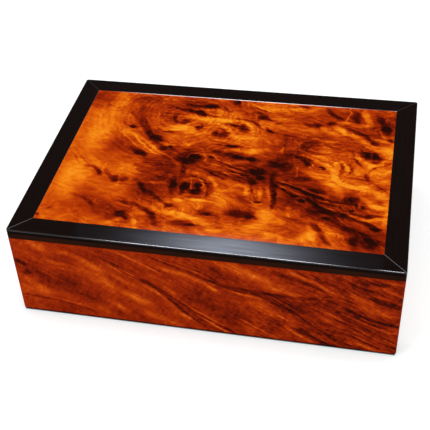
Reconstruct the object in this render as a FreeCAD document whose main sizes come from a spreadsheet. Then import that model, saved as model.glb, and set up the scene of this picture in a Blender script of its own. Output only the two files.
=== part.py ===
"""Lidded keepsake box of thuya burl with an ebonised frame round the lid, millimetres.

Frame: origin on the surface the box stands on, under the middle of the box.
+X runs along the length to the right, +Y to the hinged back, +Z up.
"""

import FreeCAD, Part

import math
import os

import Sketcher

# Driving dimensions: alias, value in millimetres or degrees, what it is.
SIZES = [
    ("length", 240, "outside length, left to right"),
    ("depth", 172, "outside depth, front to back"),
    ("wall_height", 62, "height of the four wall boards"),
    ("wall", 9, "thickness of the wall boards"),
    ("corner_radius", 1.6, "rounding of the upright corners"),
    ("foot_round", 0.8, "rounding of the walls' lower outside edge"),
    ("seam_chamfer", 0.3, "eased edges where lid and walls meet"),
    ("base_thickness", 5, "base panel"),
    ("base_rebate", 4.5, "how far the base panel reaches under the walls"),
    ("base_gap", 0.2, "room round the base panel for the wood to move"),
    ("baize_thickness", 1, "baize glued under the box"),
    ("baize_inset", 1.5, "baize edge back from the outside faces"),
    ("lining_thickness", 1, "felt on the base panel"),
    ("lining_inset", 0.3, "felt edge back from the walls"),
    ("spline_thickness", 2, "tongue across each mitre of the walls"),
    ("spline_reach", 4, "how far a tongue enters each board"),
    ("spline_from_corner", 6.5, "tongue's middle from the outside corner, along either face"),
    ("spline_end_cover", 8, "wood left above and below each tongue"),
    ("lid_board_thickness", 4, "dark board under the lid's facing"),
    ("facing_thickness", 3, "ebonised strips and burl panel"),
    ("strip_width", 13.4, "width of the ebonised strips"),
    ("lid_round", 0.45, "rounding of the lid's top outside edge"),
    ("facing_ease", 0.12, "eased edges between strips and burl panel"),
    ("batten_height", 4, "locating battens under the lid"),
    ("batten_width", 5, "locating battens under the lid"),
    ("batten_gap", 0.4, "room between battens and walls"),
    ("batten_ease", 0.6, "chamfer on the battens' lower outer edge"),
    ("hinge_from_end", 45, "from each end of the box to the middle of its hinge"),
    ("leaf_length", 30, "hinge leaf along the pin"),
    ("leaf_cover", 7.5, "how far a leaf reaches in from the back face"),
    ("leaf_thickness", 1.4, "hinge leaf"),
    ("leaf_sink", 0.15, "leaf surface below the wood round it"),
    ("mortise_gap", 0.1, "room round a leaf in its mortise"),
    ("knuckle_radius", 1.9, "hinge barrel"),
    ("knuckle_gap", 0.12, "running clearance round and between knuckles"),
    ("pin_radius", 0.8, "hinge pin"),
    ("pin_play", 0.04, "bore of the moving knuckle over the pin"),
    ("pin_proud", 0.4, "pin end beyond the barrel"),
    ("knuckle_root", 172, "where a knuckle's thick part ends on its leaf, degrees from the back"),
    ("axis_behind", 2.5, "hinge axis behind the back face"),
    ("heel_thickness", 1.1, "stop heel wrapped round the barrel"),
    ("heel_face_gap", 0.05, "between the heels and the back face"),
    ("opening_angle", 95, "where the heels stop the lid, in degrees"),
    ("stop_play", 0.6, "angle left between the heels there, in degrees"),
    ("screw_spacing", 18, "between the two screws of a leaf"),
    ("screw_from_back", 3.8, "screws from the back face"),
    ("screw_head_radius", 1.8, "countersunk head"),
    ("screw_radius", 0.85, "shank"),
    ("screw_slot_width", 0.5, "driver slot"),
    ("screw_slot_depth", 0.4, "driver slot"),
    ("screw_play", 0.05, "leaf hole over the shank, and countersink over the head"),
    ("wall_screw_length", 9, "screws into the back wall"),
    ("lid_screw_length", 5, "screws into the lid"),
    ("pilot_extra", 0.2, "pilot hole deeper than its screw"),
]

SIDES = ("front", "right", "back", "left")
HINGES = ("left", "right")
SLOPE = math.sqrt(0.5)  # share of a length at 45 degrees that runs along either side
COUNTERSINK = 90  # degrees across, so a head is as deep as it is wider than its shank
TOUCHING = 1e-4

doc = FreeCAD.newDocument("keepsake_box")
sheet = doc.addObject("Spreadsheet::Sheet", "Sizes")


class Size:
    """A size with its value now and the text of the expression that drives it."""

    def __init__(self, text, value):
        self.text = text
        self.value = float(value)

    def __add__(self, other):
        return joined(self, "+", other, self.value + number(other))

    def __sub__(self, other):
        return joined(self, "-", other, self.value - number(other))

    def __mul__(self, other):
        return joined(self, "*", other, self.value * number(other))

    def __truediv__(self, other):
        return joined(self, "/", other, self.value / number(other))

    def __neg__(self):
        return Size(f"(-1 * {self.text})", -self.value)

    def cos(self):
        return Size(f"cos({self.text})", math.cos(math.radians(self.value)))

    def sin(self):
        return Size(f"sin({self.text})", math.sin(math.radians(self.value)))


def number(item):
    return item.value if isinstance(item, Size) else float(item)


def joined(left, sign, right, value):
    right_text = right.text if isinstance(right, Size) else repr(right)
    return Size(f"({left.text} {sign} {right_text})", value)


def fill_sheet():
    """Writes the driving dimensions to the sheet and returns them by name."""
    for row, (alias, value, meaning) in enumerate(SIZES, start=1):
        sheet.set(f"A{row}", alias)
        sheet.set(f"B{row}", str(value))
        sheet.setAlias(f"B{row}", alias)
        sheet.set(f"C{row}", meaning)
    doc.recompute()
    return {alias: Size(f"Sizes.{alias}", sheet.get(alias)) for alias, _, _ in SIZES}


def drive(item, path, size):
    item.setExpression(path, size.text if isinstance(size, Size) else repr(float(size)))


# ---------------------------------------------------------------- sketches and features


def new_body(label):
    body = doc.addObject("PartDesign::Body", label)
    body.Label = label
    return body


def origin_plane(body, role):
    return next(item for item in body.Origin.OriginFeatures if item.Role == role)


def new_sketch(body, name, plane, height=None):
    sketch = body.newObject("Sketcher::SketchObject", name)
    sketch.AttachmentSupport = [(origin_plane(body, plane), "")]
    sketch.MapMode = "FlatFace"
    if height is not None:
        drive(sketch, "AttachmentOffset.Base.z", height)
    return sketch


def pin_point(sketch, geometry, end, point, ways):
    """Ties one end of a piece of geometry to its place, along x, y or both."""
    for way, size in zip("xy", point):
        if way in ways:
            kind = "DistanceX" if way == "x" else "DistanceY"
            index = sketch.addConstraint(
                Sketcher.Constraint(kind, -1, 1, geometry, end, number(size))
            )
            drive(sketch, f"Constraints[{index}]", size)


def draw_loop(sketch, corners):
    """Draws a closed loop of corners (x, y) or (x, y, arc), each driven by the sheet.

    arc is (centre x, centre y, radius, turn) for the stretch from this corner to the next,
    with turn +1 anticlockwise and -1 clockwise. A straight edge is drawn where it is left out.
    """
    points = [FreeCAD.Vector(number(c[0]), number(c[1]), 0) for c in corners]
    edges = []
    for index, corner in enumerate(corners):
        start, end = points[index], points[(index + 1) % len(points)]
        if len(corner) == 2:
            edge = sketch.addGeometry(Part.LineSegment(start, end))
            edges.append((edge, 1, 2))
            continue
        centre_x, centre_y, radius, turn = corner[2]
        centre = FreeCAD.Vector(number(centre_x), number(centre_y), 0)
        first, last = (start, end) if turn > 0 else (end, start)
        angles = [math.atan2(p.y - centre.y, p.x - centre.x) for p in (first, last)]
        circle = Part.Circle(centre, FreeCAD.Vector(0, 0, 1), number(radius))
        edge = sketch.addGeometry(Part.ArcOfCircle(circle, *angles))
        edges.append((edge, 1, 2) if turn > 0 else (edge, 2, 1))
        pin_point(sketch, edge, 3, (centre_x, centre_y), "xy")
        index_r = sketch.addConstraint(Sketcher.Constraint("Radius", edge, number(radius)))
        drive(sketch, f"Constraints[{index_r}]", radius)
    for index, corner in enumerate(corners):
        edge, start_end, _ = edges[index]
        before, _, before_end = edges[index - 1]
        sketch.addConstraint(
            Sketcher.Constraint("Coincident", before, before_end, edge, start_end)
        )
        ways = "xy"
        for arc_corner in (corner, corners[index - 1]):
            if len(arc_corner) == 3:
                across = abs(number(corner[0]) - number(arc_corner[2][0]))
                up = abs(number(corner[1]) - number(arc_corner[2][1]))
                ways = "x" if up > across else "y"
        pin_point(sketch, edge, start_end, corner, ways)


def draw_circle(sketch, centre, radius):
    circle = Part.Circle(
        FreeCAD.Vector(number(centre[0]), number(centre[1]), 0),
        FreeCAD.Vector(0, 0, 1),
        number(radius),
    )
    edge = sketch.addGeometry(circle)
    pin_point(sketch, edge, 3, centre, "xy")
    index = sketch.addConstraint(Sketcher.Constraint("Radius", edge, number(radius)))
    drive(sketch, f"Constraints[{index}]", radius)


def rectangle(x_low, x_high, y_low, y_high):
    return [(x_low, y_low), (x_high, y_low), (x_high, y_high), (x_low, y_high)]


def pad(body, sketch, length, both_ways=False):
    feature = body.newObject("PartDesign::Pad", f"{sketch.Name}_pad")
    feature.Profile = sketch
    feature.Midplane = both_ways
    drive(feature, "Length", length)
    doc.recompute()
    return feature


def pocket(body, sketch, depth, upwards=False, both_ways=False):
    """Cuts the sketch out of the body and makes sure that wood or metal really left."""
    before = body.Shape.Volume
    feature = body.newObject("PartDesign::Pocket", f"{sketch.Name}_pocket")
    feature.Profile = sketch
    feature.Reversed = upwards
    feature.Midplane = both_ways
    drive(feature, "Length", depth)
    doc.recompute()
    if not body.Shape.Volume < before:
        raise RuntimeError(f"{body.Label}: {feature.Name} cuts nothing")
    return feature


def edges_where(body, test):
    """Names of the edges of the body's last feature whose shape and middle pass the test."""
    found = []
    for index, edge in enumerate(body.Tip.Shape.Edges, start=1):
        middle = edge.valueAt((edge.FirstParameter + edge.LastParameter) / 2)
        if test(edge, middle):
            found.append(f"Edge{index}")
    if not found:
        raise RuntimeError(f"{body.Label}: no edge to ease")
    return found


def ease_edges(body, kind, name, names, size):
    """Adds a Fillet or a Chamfer on the named edges of the body's last feature."""
    tip = body.Tip
    feature = body.newObject(f"PartDesign::{kind}", name)
    feature.Base = (tip, names)
    drive(feature, "Radius" if kind == "Fillet" else "Size", size)
    doc.recompute()
    return feature


def near(one, other):
    return abs(one - number(other)) < TOUCHING


def level(edge, height):
    """True for an edge that lies flat at a height."""
    return all(near(vertex.Point.z, height) for vertex in edge.Vertexes)


def along_outline(middle, outline):
    """True for an edge on the outside of a mitred stick, its rounded ends included."""
    run, reach, radius = outline
    on_face = near(middle.y, -reach)
    in_corner = middle.y < -reach + number(radius) and abs(middle.x) > run / 2 - number(radius)
    return on_face or in_corner


# ---------------------------------------------------------------- the box's own heights


size = fill_sheet()

walls_foot = size["baize_thickness"]
seam = walls_foot + size["wall_height"]
facing_foot = seam + size["lid_board_thickness"]
lid_top = facing_foot + size["facing_thickness"]
floor_top = walls_foot + size["base_thickness"]
inside_length = size["length"] - size["wall"] * 2
inside_depth = size["depth"] - size["wall"] * 2
mortise_depth = size["leaf_sink"] + size["leaf_thickness"]


def run_and_reach(side, inset=0):
    """Length of a side's stick, and its outer face's distance from the middle of the box."""
    along, across = ("length", "depth") if side in ("front", "back") else ("depth", "length")
    return size[along] - number_or_size(inset) * 2, size[across] / 2 - number_or_size(inset)


def number_or_size(item):
    return item if isinstance(item, Size) else Size(repr(float(item)), item)


def mitred_stick(label, side, width, height, foot, inset=0, radius=None):
    """A stick with mitred ends, drawn as the front one and turned to its side of the box."""
    body = new_body(label)
    run, reach = run_and_reach(side, inset)
    end, inner_end = run / 2, run / 2 - width
    outer, inner = -reach, width - reach
    if radius is None:
        corners = [(-end, outer), (end, outer), (inner_end, inner), (-inner_end, inner)]
    else:
        start, centre = end - radius, radius - reach
        mitre_x, mitre_y = start + radius * SLOPE, centre - radius * SLOPE
        corners = [
            (-start, outer),
            (start, outer, (start, centre, radius, 1)),
            (mitre_x, mitre_y),
            (inner_end, inner),
            (-inner_end, inner),
            (-mitre_x, mitre_y, (-start, centre, radius, 1)),
        ]
    plan = new_sketch(body, f"{label}_plan", "XY_Plane", foot)
    draw_loop(plan, corners)
    pad(body, plan, height)
    turn = 360 / len(SIDES) * SIDES.index(side)
    body.Placement = FreeCAD.Placement(
        FreeCAD.Vector(), FreeCAD.Rotation(FreeCAD.Vector(0, 0, 1), turn)
    )
    return body


# ---------------------------------------------------------------- walls, base and linings


def spline_corners(end, outer, hand):
    """Plan of the tongue across the mitre at one end of a wall board."""
    middle_x, middle_y = end - size["spline_from_corner"], outer + size["spline_from_corner"]
    half, reach = size["spline_thickness"] / 2 * SLOPE, size["spline_reach"] * SLOPE
    corners = []
    for along, across in ((1, 1), (-1, 1), (-1, -1), (1, -1)):
        x = middle_x + reach * across - half * along
        y = middle_y + reach * across + half * along
        corners.append((x * hand, y))
    return corners


def hinge_middle(side):
    """Where along the box the middle of a hinge stands."""
    from_middle = size["length"] / 2 - size["hinge_from_end"]
    return -from_middle if side == "left" else from_middle


def hinge_cuts(body, across, upwards, screw_length):
    """Mortises and pilot holes for both hinges; across is the back face's own side of the body."""
    back = size["depth"] / 2 * across
    inner = back - (size["leaf_cover"] + size["mortise_gap"]) * across
    beyond = back + size["leaf_cover"] * across
    half = size["leaf_length"] / 2 + size["mortise_gap"]
    mortises = new_sketch(body, f"{body.Label}_mortises", "XY_Plane", seam)
    pilots = new_sketch(body, f"{body.Label}_pilots", "XY_Plane", seam)
    for hinge_side in HINGES:
        middle = hinge_middle(hinge_side)
        draw_loop(mortises, rectangle(middle - half, middle + half, inner, beyond))
        for way in (-1, 1):
            x = middle + size["screw_spacing"] / 2 * way
            y = back - size["screw_from_back"] * across
            draw_circle(pilots, (x, y), size["screw_radius"])
    pocket(body, mortises, mortise_depth, upwards)
    pocket(body, pilots, size["leaf_sink"] + screw_length + size["pilot_extra"], upwards)


def wall_board(side):
    label = f"{side}_wall"
    body = mitred_stick(
        label, side, size["wall"], size["wall_height"], walls_foot, radius=size["corner_radius"]
    )
    run, reach = run_and_reach(side)
    rebate = new_sketch(body, f"{label}_rebate", "XY_Plane", walls_foot)
    inner = size["wall"] - reach
    draw_loop(rebate, rectangle(-run / 2, run / 2, inner - size["base_rebate"], inner))
    pocket(body, rebate, size["base_thickness"], upwards=True)

    grooves = new_sketch(body, f"{label}_grooves", "XY_Plane", seam - size["spline_end_cover"])
    for hand in (-1, 1):
        draw_loop(grooves, spline_corners(run / 2, -reach, hand))
    pocket(body, grooves, spline_height())

    outline = (number(run), number(reach), size["corner_radius"])
    foot = edges_where(
        body, lambda e, m: level(e, walls_foot) and along_outline(m, outline)
    )
    ease_edges(body, "Fillet", f"{label}_foot", foot, size["foot_round"])
    top = edges_where(body, lambda e, m: level(e, seam) and along_outline(m, outline))
    ease_edges(body, "Chamfer", f"{label}_rim", top, size["seam_chamfer"])
    if side == "back":
        hinge_cuts(body, -1, False, size["wall_screw_length"])
    return body


def spline_height():
    return seam - size["spline_end_cover"] * 2 - floor_top


def corner_splines():
    """The four tongues that lock the mitres of the walls, hidden inside them."""
    body = new_body("corner_splines")
    foot = floor_top + size["spline_end_cover"]
    plan = new_sketch(body, "corner_splines_plan", "XY_Plane", foot)
    for hand in (-1, 1):
        front = spline_corners(size["length"] / 2, -size["depth"] / 2, hand)
        draw_loop(plan, front)
        draw_loop(plan, [(x, -y) for x, y in front])
    pad(body, plan, spline_height())
    return body


def flat_sheet(label, length, depth, thickness, foot):
    """A plain rectangular sheet, panel or lining centred on the box."""
    body = new_body(label)
    plan = new_sketch(body, f"{label}_plan", "XY_Plane", foot)
    draw_loop(plan, rectangle(-length / 2, length / 2, -depth / 2, depth / 2))
    pad(body, plan, thickness)
    return body


def base_panel():
    grow = (size["base_rebate"] - size["base_gap"]) * 2
    return flat_sheet(
        "base_panel", inside_length + grow, inside_depth + grow, size["base_thickness"], walls_foot
    )


def underside_baize():
    cut = size["baize_inset"] * 2
    sheet_size = (size["length"] - cut, size["depth"] - cut)
    return flat_sheet("underside_baize", *sheet_size, size["baize_thickness"], 0)


def floor_lining():
    cut = size["lining_inset"] * 2
    sheet_size = (inside_length - cut, inside_depth - cut)
    return flat_sheet("floor_lining", *sheet_size, size["lining_thickness"], floor_top)


# ---------------------------------------------------------------- lid


def lid_board():
    """The dark board that carries the facing, the battens and the hinges."""
    body = flat_sheet("lid_board", size["length"], size["depth"], size["lid_board_thickness"], seam)
    upright = edges_where(body, lambda e, m: near(m.z, seam + size["lid_board_thickness"] / 2))
    ease_edges(body, "Fillet", "lid_board_corners", upright, size["corner_radius"])
    lower = edges_where(body, lambda e, m: level(e, seam))
    ease_edges(body, "Chamfer", "lid_board_rim", lower, size["seam_chamfer"])
    hinge_cuts(body, 1, True, size["lid_screw_length"])
    return body


def facing_strip(side):
    """One ebonised strip of the mitred frame round the burl panel."""
    label = f"{side}_lid_strip"
    body = mitred_stick(
        label,
        side,
        size["strip_width"],
        size["facing_thickness"],
        facing_foot,
        radius=size["corner_radius"],
    )
    run, reach = run_and_reach(side)
    outline = (number(run), number(reach), size["corner_radius"])
    outer = edges_where(body, lambda e, m: level(e, lid_top) and along_outline(m, outline))
    ease_edges(body, "Fillet", f"{label}_round", outer, size["lid_round"])
    inner_face = size["strip_width"] - reach
    inner = edges_where(body, lambda e, m: level(e, lid_top) and near(m.y, inner_face))
    ease_edges(body, "Chamfer", f"{label}_ease", inner, size["facing_ease"])
    if side == "back":
        pilots = new_sketch(body, f"{label}_pilots", "XY_Plane", facing_foot)
        for hinge_side in HINGES:
            for way in (-1, 1):
                x = hinge_middle(hinge_side) + size["screw_spacing"] / 2 * way
                draw_circle(pilots, (x, size["screw_from_back"] - reach), size["screw_radius"])
        into_lid = size["leaf_sink"] + size["lid_screw_length"] + size["pilot_extra"]
        pocket(body, pilots, into_lid - size["lid_board_thickness"], upwards=True)
    return body


def burl_panel():
    body = flat_sheet(
        "lid_burl_panel",
        size["length"] - size["strip_width"] * 2,
        size["depth"] - size["strip_width"] * 2,
        size["facing_thickness"],
        facing_foot,
    )
    top = edges_where(body, lambda e, m: level(e, lid_top))
    ease_edges(body, "Chamfer", "lid_burl_panel_ease", top, size["facing_ease"])
    return body


def lid_batten(side):
    """One of the four strips under the lid that drop just inside the walls."""
    label = f"{side}_lid_batten"
    inset = size["wall"] + size["batten_gap"]
    height = size["batten_height"]
    body = mitred_stick(label, side, size["batten_width"], height, seam - height, inset=inset)
    _, reach = run_and_reach(side, inset)
    lower = edges_where(body, lambda e, m: level(e, seam - height) and near(m.y, -reach))
    ease_edges(body, "Chamfer", f"{label}_ease", lower, size["batten_ease"])
    return body


# ---------------------------------------------------------------- hinges


clear_radius = size["knuckle_radius"] + size["knuckle_gap"]
heel_radius = clear_radius + size["heel_thickness"]
heel_angle = (size["opening_angle"] + size["stop_play"]) / 2
knuckle_pitch = size["leaf_length"] / 3


def on_circle(radius, angle, below):
    """Point at an angle behind the axis, below it for the wall leaf, above it for the lid leaf."""
    return radius * angle.cos(), radius * angle.sin() * -below


def leaf_section(below):
    """Leaf and stop heel across the pin: y from the axis to the back, z up."""
    inner = -(size["axis_behind"] + size["leaf_cover"])
    face = -(size["axis_behind"] - size["heel_face_gap"])
    surface, bottom = size["leaf_sink"] * -below, mortise_depth * -below
    at_surface = -math.sqrt(number(clear_radius) ** 2 - number(surface) ** 2)
    under_heel = math.sqrt(number(heel_radius) ** 2 - number(face) ** 2) * -below
    return [
        (inner, surface),
        (at_surface, surface, (0, 0, clear_radius, below)),
        on_circle(clear_radius, heel_angle, below),
        (*on_circle(heel_radius, heel_angle, below), (0, 0, heel_radius, -below)),
        (face, under_heel),
        (face, bottom),
        (inner, bottom),
    ]


def knuckle_section(below):
    """A knuckle: round on the free side, and thick where it joins its own heel."""
    thick = clear_radius + size["heel_thickness"] / 2
    root = size["knuckle_root"]
    return [
        (*on_circle(thick, heel_angle, below), (0, 0, thick, -below)),
        on_circle(thick, root, below),
        (
            *on_circle(size["knuckle_radius"], root, below),
            (0, 0, size["knuckle_radius"], -below),
        ),
        on_circle(size["knuckle_radius"], heel_angle, below),
    ]


def hinge_leaf(label, below):
    """A leaf with its knuckles, bored for the pin and countersunk for two screws."""
    body = new_body(label)
    section = new_sketch(body, f"{label}_section", "YZ_Plane")
    draw_loop(section, leaf_section(below))
    pad(body, section, size["leaf_length"], both_ways=True)

    wall_leaf = below > 0
    start = knuckle_pitch / 2 + size["knuckle_gap"]
    knuckle = new_sketch(body, f"{label}_knuckle", "YZ_Plane", start if wall_leaf else None)
    draw_loop(knuckle, knuckle_section(below))
    if wall_leaf:
        outer = pad(body, knuckle, size["leaf_length"] / 2 - start)
        mirror = body.newObject("PartDesign::Mirrored", f"{label}_knuckles")
        mirror.Originals = [outer]
        mirror.MirrorPlane = (origin_plane(body, "YZ_Plane"), [""])
        body.Tip = mirror
        doc.recompute()
    else:
        pad(body, knuckle, knuckle_pitch, both_ways=True)

    bore = new_sketch(body, f"{label}_bore", "YZ_Plane")
    play = 0 if wall_leaf else size["pin_play"]
    draw_circle(bore, (0, 0), size["pin_radius"] + play)
    pocket(body, bore, size["leaf_length"] * 2, both_ways=True)
    screw_holes(body, below)
    return body


def screw_holes(body, below):
    """Countersinks both screw holes from the leaf's face at the seam."""
    before = body.Shape.Volume
    centres = new_sketch(body, f"{body.Label}_centres", "XY_Plane", size["leaf_sink"] * -below)
    for way in (-1, 1):
        x = size["screw_spacing"] / 2 * way
        y = -(size["axis_behind"] + size["screw_from_back"])
        draw_circle(centres, (x, y), size["screw_radius"])
    doc.recompute()
    hole = body.newObject("PartDesign::Hole", f"{body.Label}_holes")
    hole.Profile = centres
    hole.Reversed = below < 0
    hole.DepthType = "ThroughAll"
    hole.HoleCutType = "Countersink"
    hole.HoleCutCountersinkAngle = COUNTERSINK
    drive(hole, "Diameter", (size["screw_radius"] + size["screw_play"]) * 2)
    drive(hole, "HoleCutDiameter", (size["screw_head_radius"] + size["screw_play"]) * 2)
    doc.recompute()
    if not body.Shape.Volume < before:
        raise RuntimeError(f"{body.Label}: the screw holes cut nothing")


def screws(label, below, length):
    """The two slotted countersunk screws of one leaf."""
    body = new_body(label)
    head, shank = size["screw_head_radius"], size["screw_radius"]
    top = size["leaf_sink"] * -below

    def down(distance):
        return top - distance * below

    profile = new_sketch(body, f"{label}_profile", "XZ_Plane")
    draw_loop(
        profile,
        [
            (0, top),
            (head, top),
            (shank, down(head - shank)),
            (shank, down(length)),
            (0, down(length)),
        ],
    )
    turned = body.newObject("PartDesign::Revolution", f"{label}_turned")
    turned.Profile = profile
    turned.ReferenceAxis = (profile, ["V_Axis"])
    turned.Angle = 360
    doc.recompute()

    slot = new_sketch(body, f"{label}_slot", "XY_Plane", top)
    half = size["screw_slot_width"] / 2
    draw_loop(slot, rectangle(-head, head, -half, half))
    cut = pocket(body, slot, size["screw_slot_depth"], upwards=below < 0)

    pair = body.newObject("PartDesign::LinearPattern", f"{label}_pair")
    pair.Originals = [turned, cut]
    pair.Direction = (origin_plane(body, "X_Axis"), [""])
    pair.Occurrences = 2
    drive(pair, "Length", size["screw_spacing"])
    body.Tip = pair
    doc.recompute()
    return body


def hinge_pin(label):
    body = new_body(label)
    section = new_sketch(body, f"{label}_section", "YZ_Plane")
    draw_circle(section, (0, 0), size["pin_radius"])
    pad(body, section, size["leaf_length"] + size["pin_proud"] * 2, both_ways=True)
    return body


def hinge(side):
    """One stopped brass butt hinge with its pin and screws, let in at the seam."""
    middle = hinge_middle(side)
    axis = (middle, size["depth"] / 2 + size["axis_behind"])
    first_screw = (
        middle - size["screw_spacing"] / 2,
        size["depth"] / 2 - size["screw_from_back"],
    )
    pieces = [
        (hinge_leaf(f"{side}_hinge_wall_leaf", 1), axis),
        (hinge_leaf(f"{side}_hinge_lid_leaf", -1), axis),
        (hinge_pin(f"{side}_hinge_pin"), axis),
        (screws(f"{side}_hinge_wall_screws", 1, size["wall_screw_length"]), first_screw),
        (screws(f"{side}_hinge_lid_screws", -1, size["lid_screw_length"]), first_screw),
    ]
    for body, (x, y) in pieces:
        drive(body, "Placement.Base.x", x)
        drive(body, "Placement.Base.y", y)
        drive(body, "Placement.Base.z", seam)
    return [body for body, _ in pieces]


# ---------------------------------------------------------------- build, test and write


def build():
    pieces = [wall_board(side) for side in SIDES]
    pieces += [corner_splines(), base_panel(), underside_baize(), floor_lining(), lid_board()]
    pieces += [facing_strip(side) for side in SIDES]
    pieces.append(burl_panel())
    pieces += [lid_batten(side) for side in SIDES]
    for side in HINGES:
        pieces += hinge(side)
    doc.recompute()
    return pieces


def check(pieces):
    for item in doc.Objects:
        if "Invalid" in item.State or "Error" in item.State:
            raise RuntimeError(f"{item.Name} failed: {item.State}")
    for body in pieces:
        if body.Shape.isNull() or not body.Shape.isValid():
            raise RuntimeError(f"{body.Label} has no valid shape")


def write(pieces):
    os.makedirs("parts", exist_ok=True)
    for body in pieces:
        body.Shape.exportStep(os.path.join("parts", f"{body.Label}.step"))
        print(f"{body.Label}: {len(body.Shape.Solids)} solid(s), {body.Shape.Volume:.1f} mm3")


pieces = build()
check(pieces)
write(pieces)
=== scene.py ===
# %% [markdown]
# # A burl keepsake box
#
# This lesson dresses a small wooden box: four straight walls of thuya, a flat lid with a panel
# of thuya burl framed by black strips, and two brass hinges at the back. The solid parts come
# ready made as a fixed frame. We add the surfaces, the felt, the baize and the rounded hinge
# pins, then a plain studio with a camera.

import math
import random

import bmesh
import bpy
from mathutils import Matrix, Vector, noise


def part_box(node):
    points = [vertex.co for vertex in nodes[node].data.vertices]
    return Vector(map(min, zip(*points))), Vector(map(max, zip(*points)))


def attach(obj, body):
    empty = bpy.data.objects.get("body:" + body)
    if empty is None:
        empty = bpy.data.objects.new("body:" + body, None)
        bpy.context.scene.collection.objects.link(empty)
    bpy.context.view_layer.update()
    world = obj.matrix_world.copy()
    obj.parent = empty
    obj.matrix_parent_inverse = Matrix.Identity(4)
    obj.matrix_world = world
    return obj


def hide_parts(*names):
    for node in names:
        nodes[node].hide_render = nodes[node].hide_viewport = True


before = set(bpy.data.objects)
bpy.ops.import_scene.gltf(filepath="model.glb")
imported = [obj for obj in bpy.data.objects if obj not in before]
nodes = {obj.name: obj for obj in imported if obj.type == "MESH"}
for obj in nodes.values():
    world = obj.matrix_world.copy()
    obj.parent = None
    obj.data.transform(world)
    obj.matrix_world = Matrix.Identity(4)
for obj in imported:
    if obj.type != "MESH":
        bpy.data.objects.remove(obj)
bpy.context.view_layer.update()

# %% [markdown]
# ## Small helpers
#
# Colours are written the way a paint chart or a screen shows them, as sRGB hex, while a shader
# wants linear light, so one function turns the first into the second. A material is a little
# graph, and one function adds a node to it, sets it up and joins it to what comes before. Nearly
# every pattern is a sum of parts, so another function adds them up. Patterns are easiest to think
# about in millimetres, so one more gives a material its place on the box in millimetres. In Map
# Range, inputs 1 and 2 are the range it reads, and 3 and 4 the range it gives. In Mix, inputs 2
# and 3 are the two numbers, and 6 and 7 the two colours.


# %% Helpers for colours and nodes
MM = 1000  # millimetres in a metre


def paint(code):
    """Linear colour of an sRGB hex code such as "#c0501a"."""
    channels = [int(code[i : i + 2], 16) / 255 for i in (1, 3, 5)]
    linear = [c / 12.92 if c <= 0.04045 else ((c + 0.055) / 1.055) ** 2.4 for c in channels]
    return (*linear, 1.0)


def add_node(tree, kind, sockets=None, **settings):
    """Adds one node. sockets maps an input's name or number to a value, to an output of another
    node, or to another node, which stands for its first output."""
    made = tree.nodes.new("ShaderNode" + kind)
    for name, value in settings.items():
        setattr(made, name, value)
    for key, value in (sockets or {}).items():
        if isinstance(value, bpy.types.Node):
            value = value.outputs[0]
        if isinstance(value, bpy.types.NodeSocket):
            tree.links.new(value, made.inputs[key])
        else:
            made.inputs[key].default_value = value
    return made


def add_up(tree, base, steps):
    """base plus each part times its weight. A step's third number is taken off its part first."""
    total = base
    for part, weight, *middle in steps:
        if middle:
            part = add_node(tree, "Math", {0: part, 1: middle[0]}, operation="SUBTRACT")
        laid = {0: part, 1: weight, 2: total}
        total = add_node(tree, "Math", laid, operation="MULTIPLY_ADD")
    return total


def new_material(name):
    """An empty node material and its tree."""
    material = bpy.data.materials.new(name)
    material.use_nodes = True
    material.node_tree.nodes.clear()
    return material, material.node_tree


def place_in_mm(tree, stretch=(1, 1, 1)):
    """Where a point is on the box, in millimetres. A 0 in stretch leaves out that direction."""
    place = add_node(tree, "TexCoord").outputs["Object"]
    factors = [MM * share for share in stretch]
    return add_node(tree, "VectorMath", {0: place, 1: factors}, operation="MULTIPLY")


def dress(material, *names):
    """Gives carried-over parts a material."""
    for name in names:
        nodes[name].material_slots[0].material = material
    print(material.name, "on", ", ".join(names))


print("mid grey #808080 is", round(paint("#808080")[0], 3), "in linear light")

# %% [markdown]
# ## How lacquered thuya looks
#
# Thuya is a small North African tree. Its root burl is cut into thin panels that show clouds,
# flames and tiny round eyes in amber, orange and near-black brown, and the straight wood next
# to it shows long slanting streaks. Both are finished with many coats of clear lacquer, which
# deepens the colour and reflects like glass. Every figure is drawn from soft blots: an ellipse
# with a place, two half-widths, a lean and a strength, given in millimetres and degrees. A long
# streak is a row of narrow blots. Before the blots are laid, the place itself is bent by noise,
# so that their edges run like fibres. Painting a picture would be quicker but fixed to one size.
# Blots and noise stay sharp close up.


# %% Blots and bent places
OVERLAP = 0.75  # half length of a streak's blot, as a share of its run, so that neighbours meet
NOISE_MIDDLE = 0.5  # noise runs from 0 to 1, and patterns want it to swing about 0


def flat_noise(tree, place, size, turn=0.0, detail=3.0, roughness=0.55, seed=0.0, swirl=0.0):
    """Noise whose grains are size[0] by size[1] mm, leaning by turn degrees."""
    lean = (0, 0, math.radians(turn))
    laid = {0: place, 1: (seed, -seed, 0), 2: lean, 3: (*size, 1)}
    leaned = add_node(tree, "Mapping", laid, vector_type="TEXTURE")
    grains = {
        "Vector": leaned,
        "Scale": 1.0,
        "Detail": detail,
        "Roughness": roughness,
        "Distortion": swirl,
    }
    return add_node(tree, "TexNoise", grains, noise_dimensions="2D")


def bend_place(tree, place, size, reach, turn=0.0, stretch=(1, 1), seed=0.0):
    """Moves a place by up to about half of reach mm, along both ways of the surface."""
    wobble = flat_noise(tree, place, size, turn, detail=2.0, seed=seed).outputs["Color"]
    swing = {0: wobble, 1: (NOISE_MIDDLE, NOISE_MIDDLE, NOISE_MIDDLE)}
    centred = add_node(tree, "VectorMath", swing, operation="SUBTRACT")
    push = {0: centred, 1: (reach * stretch[0], reach * stretch[1], 0), 2: place}
    return add_node(tree, "VectorMath", push, operation="MULTIPLY_ADD")


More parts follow.
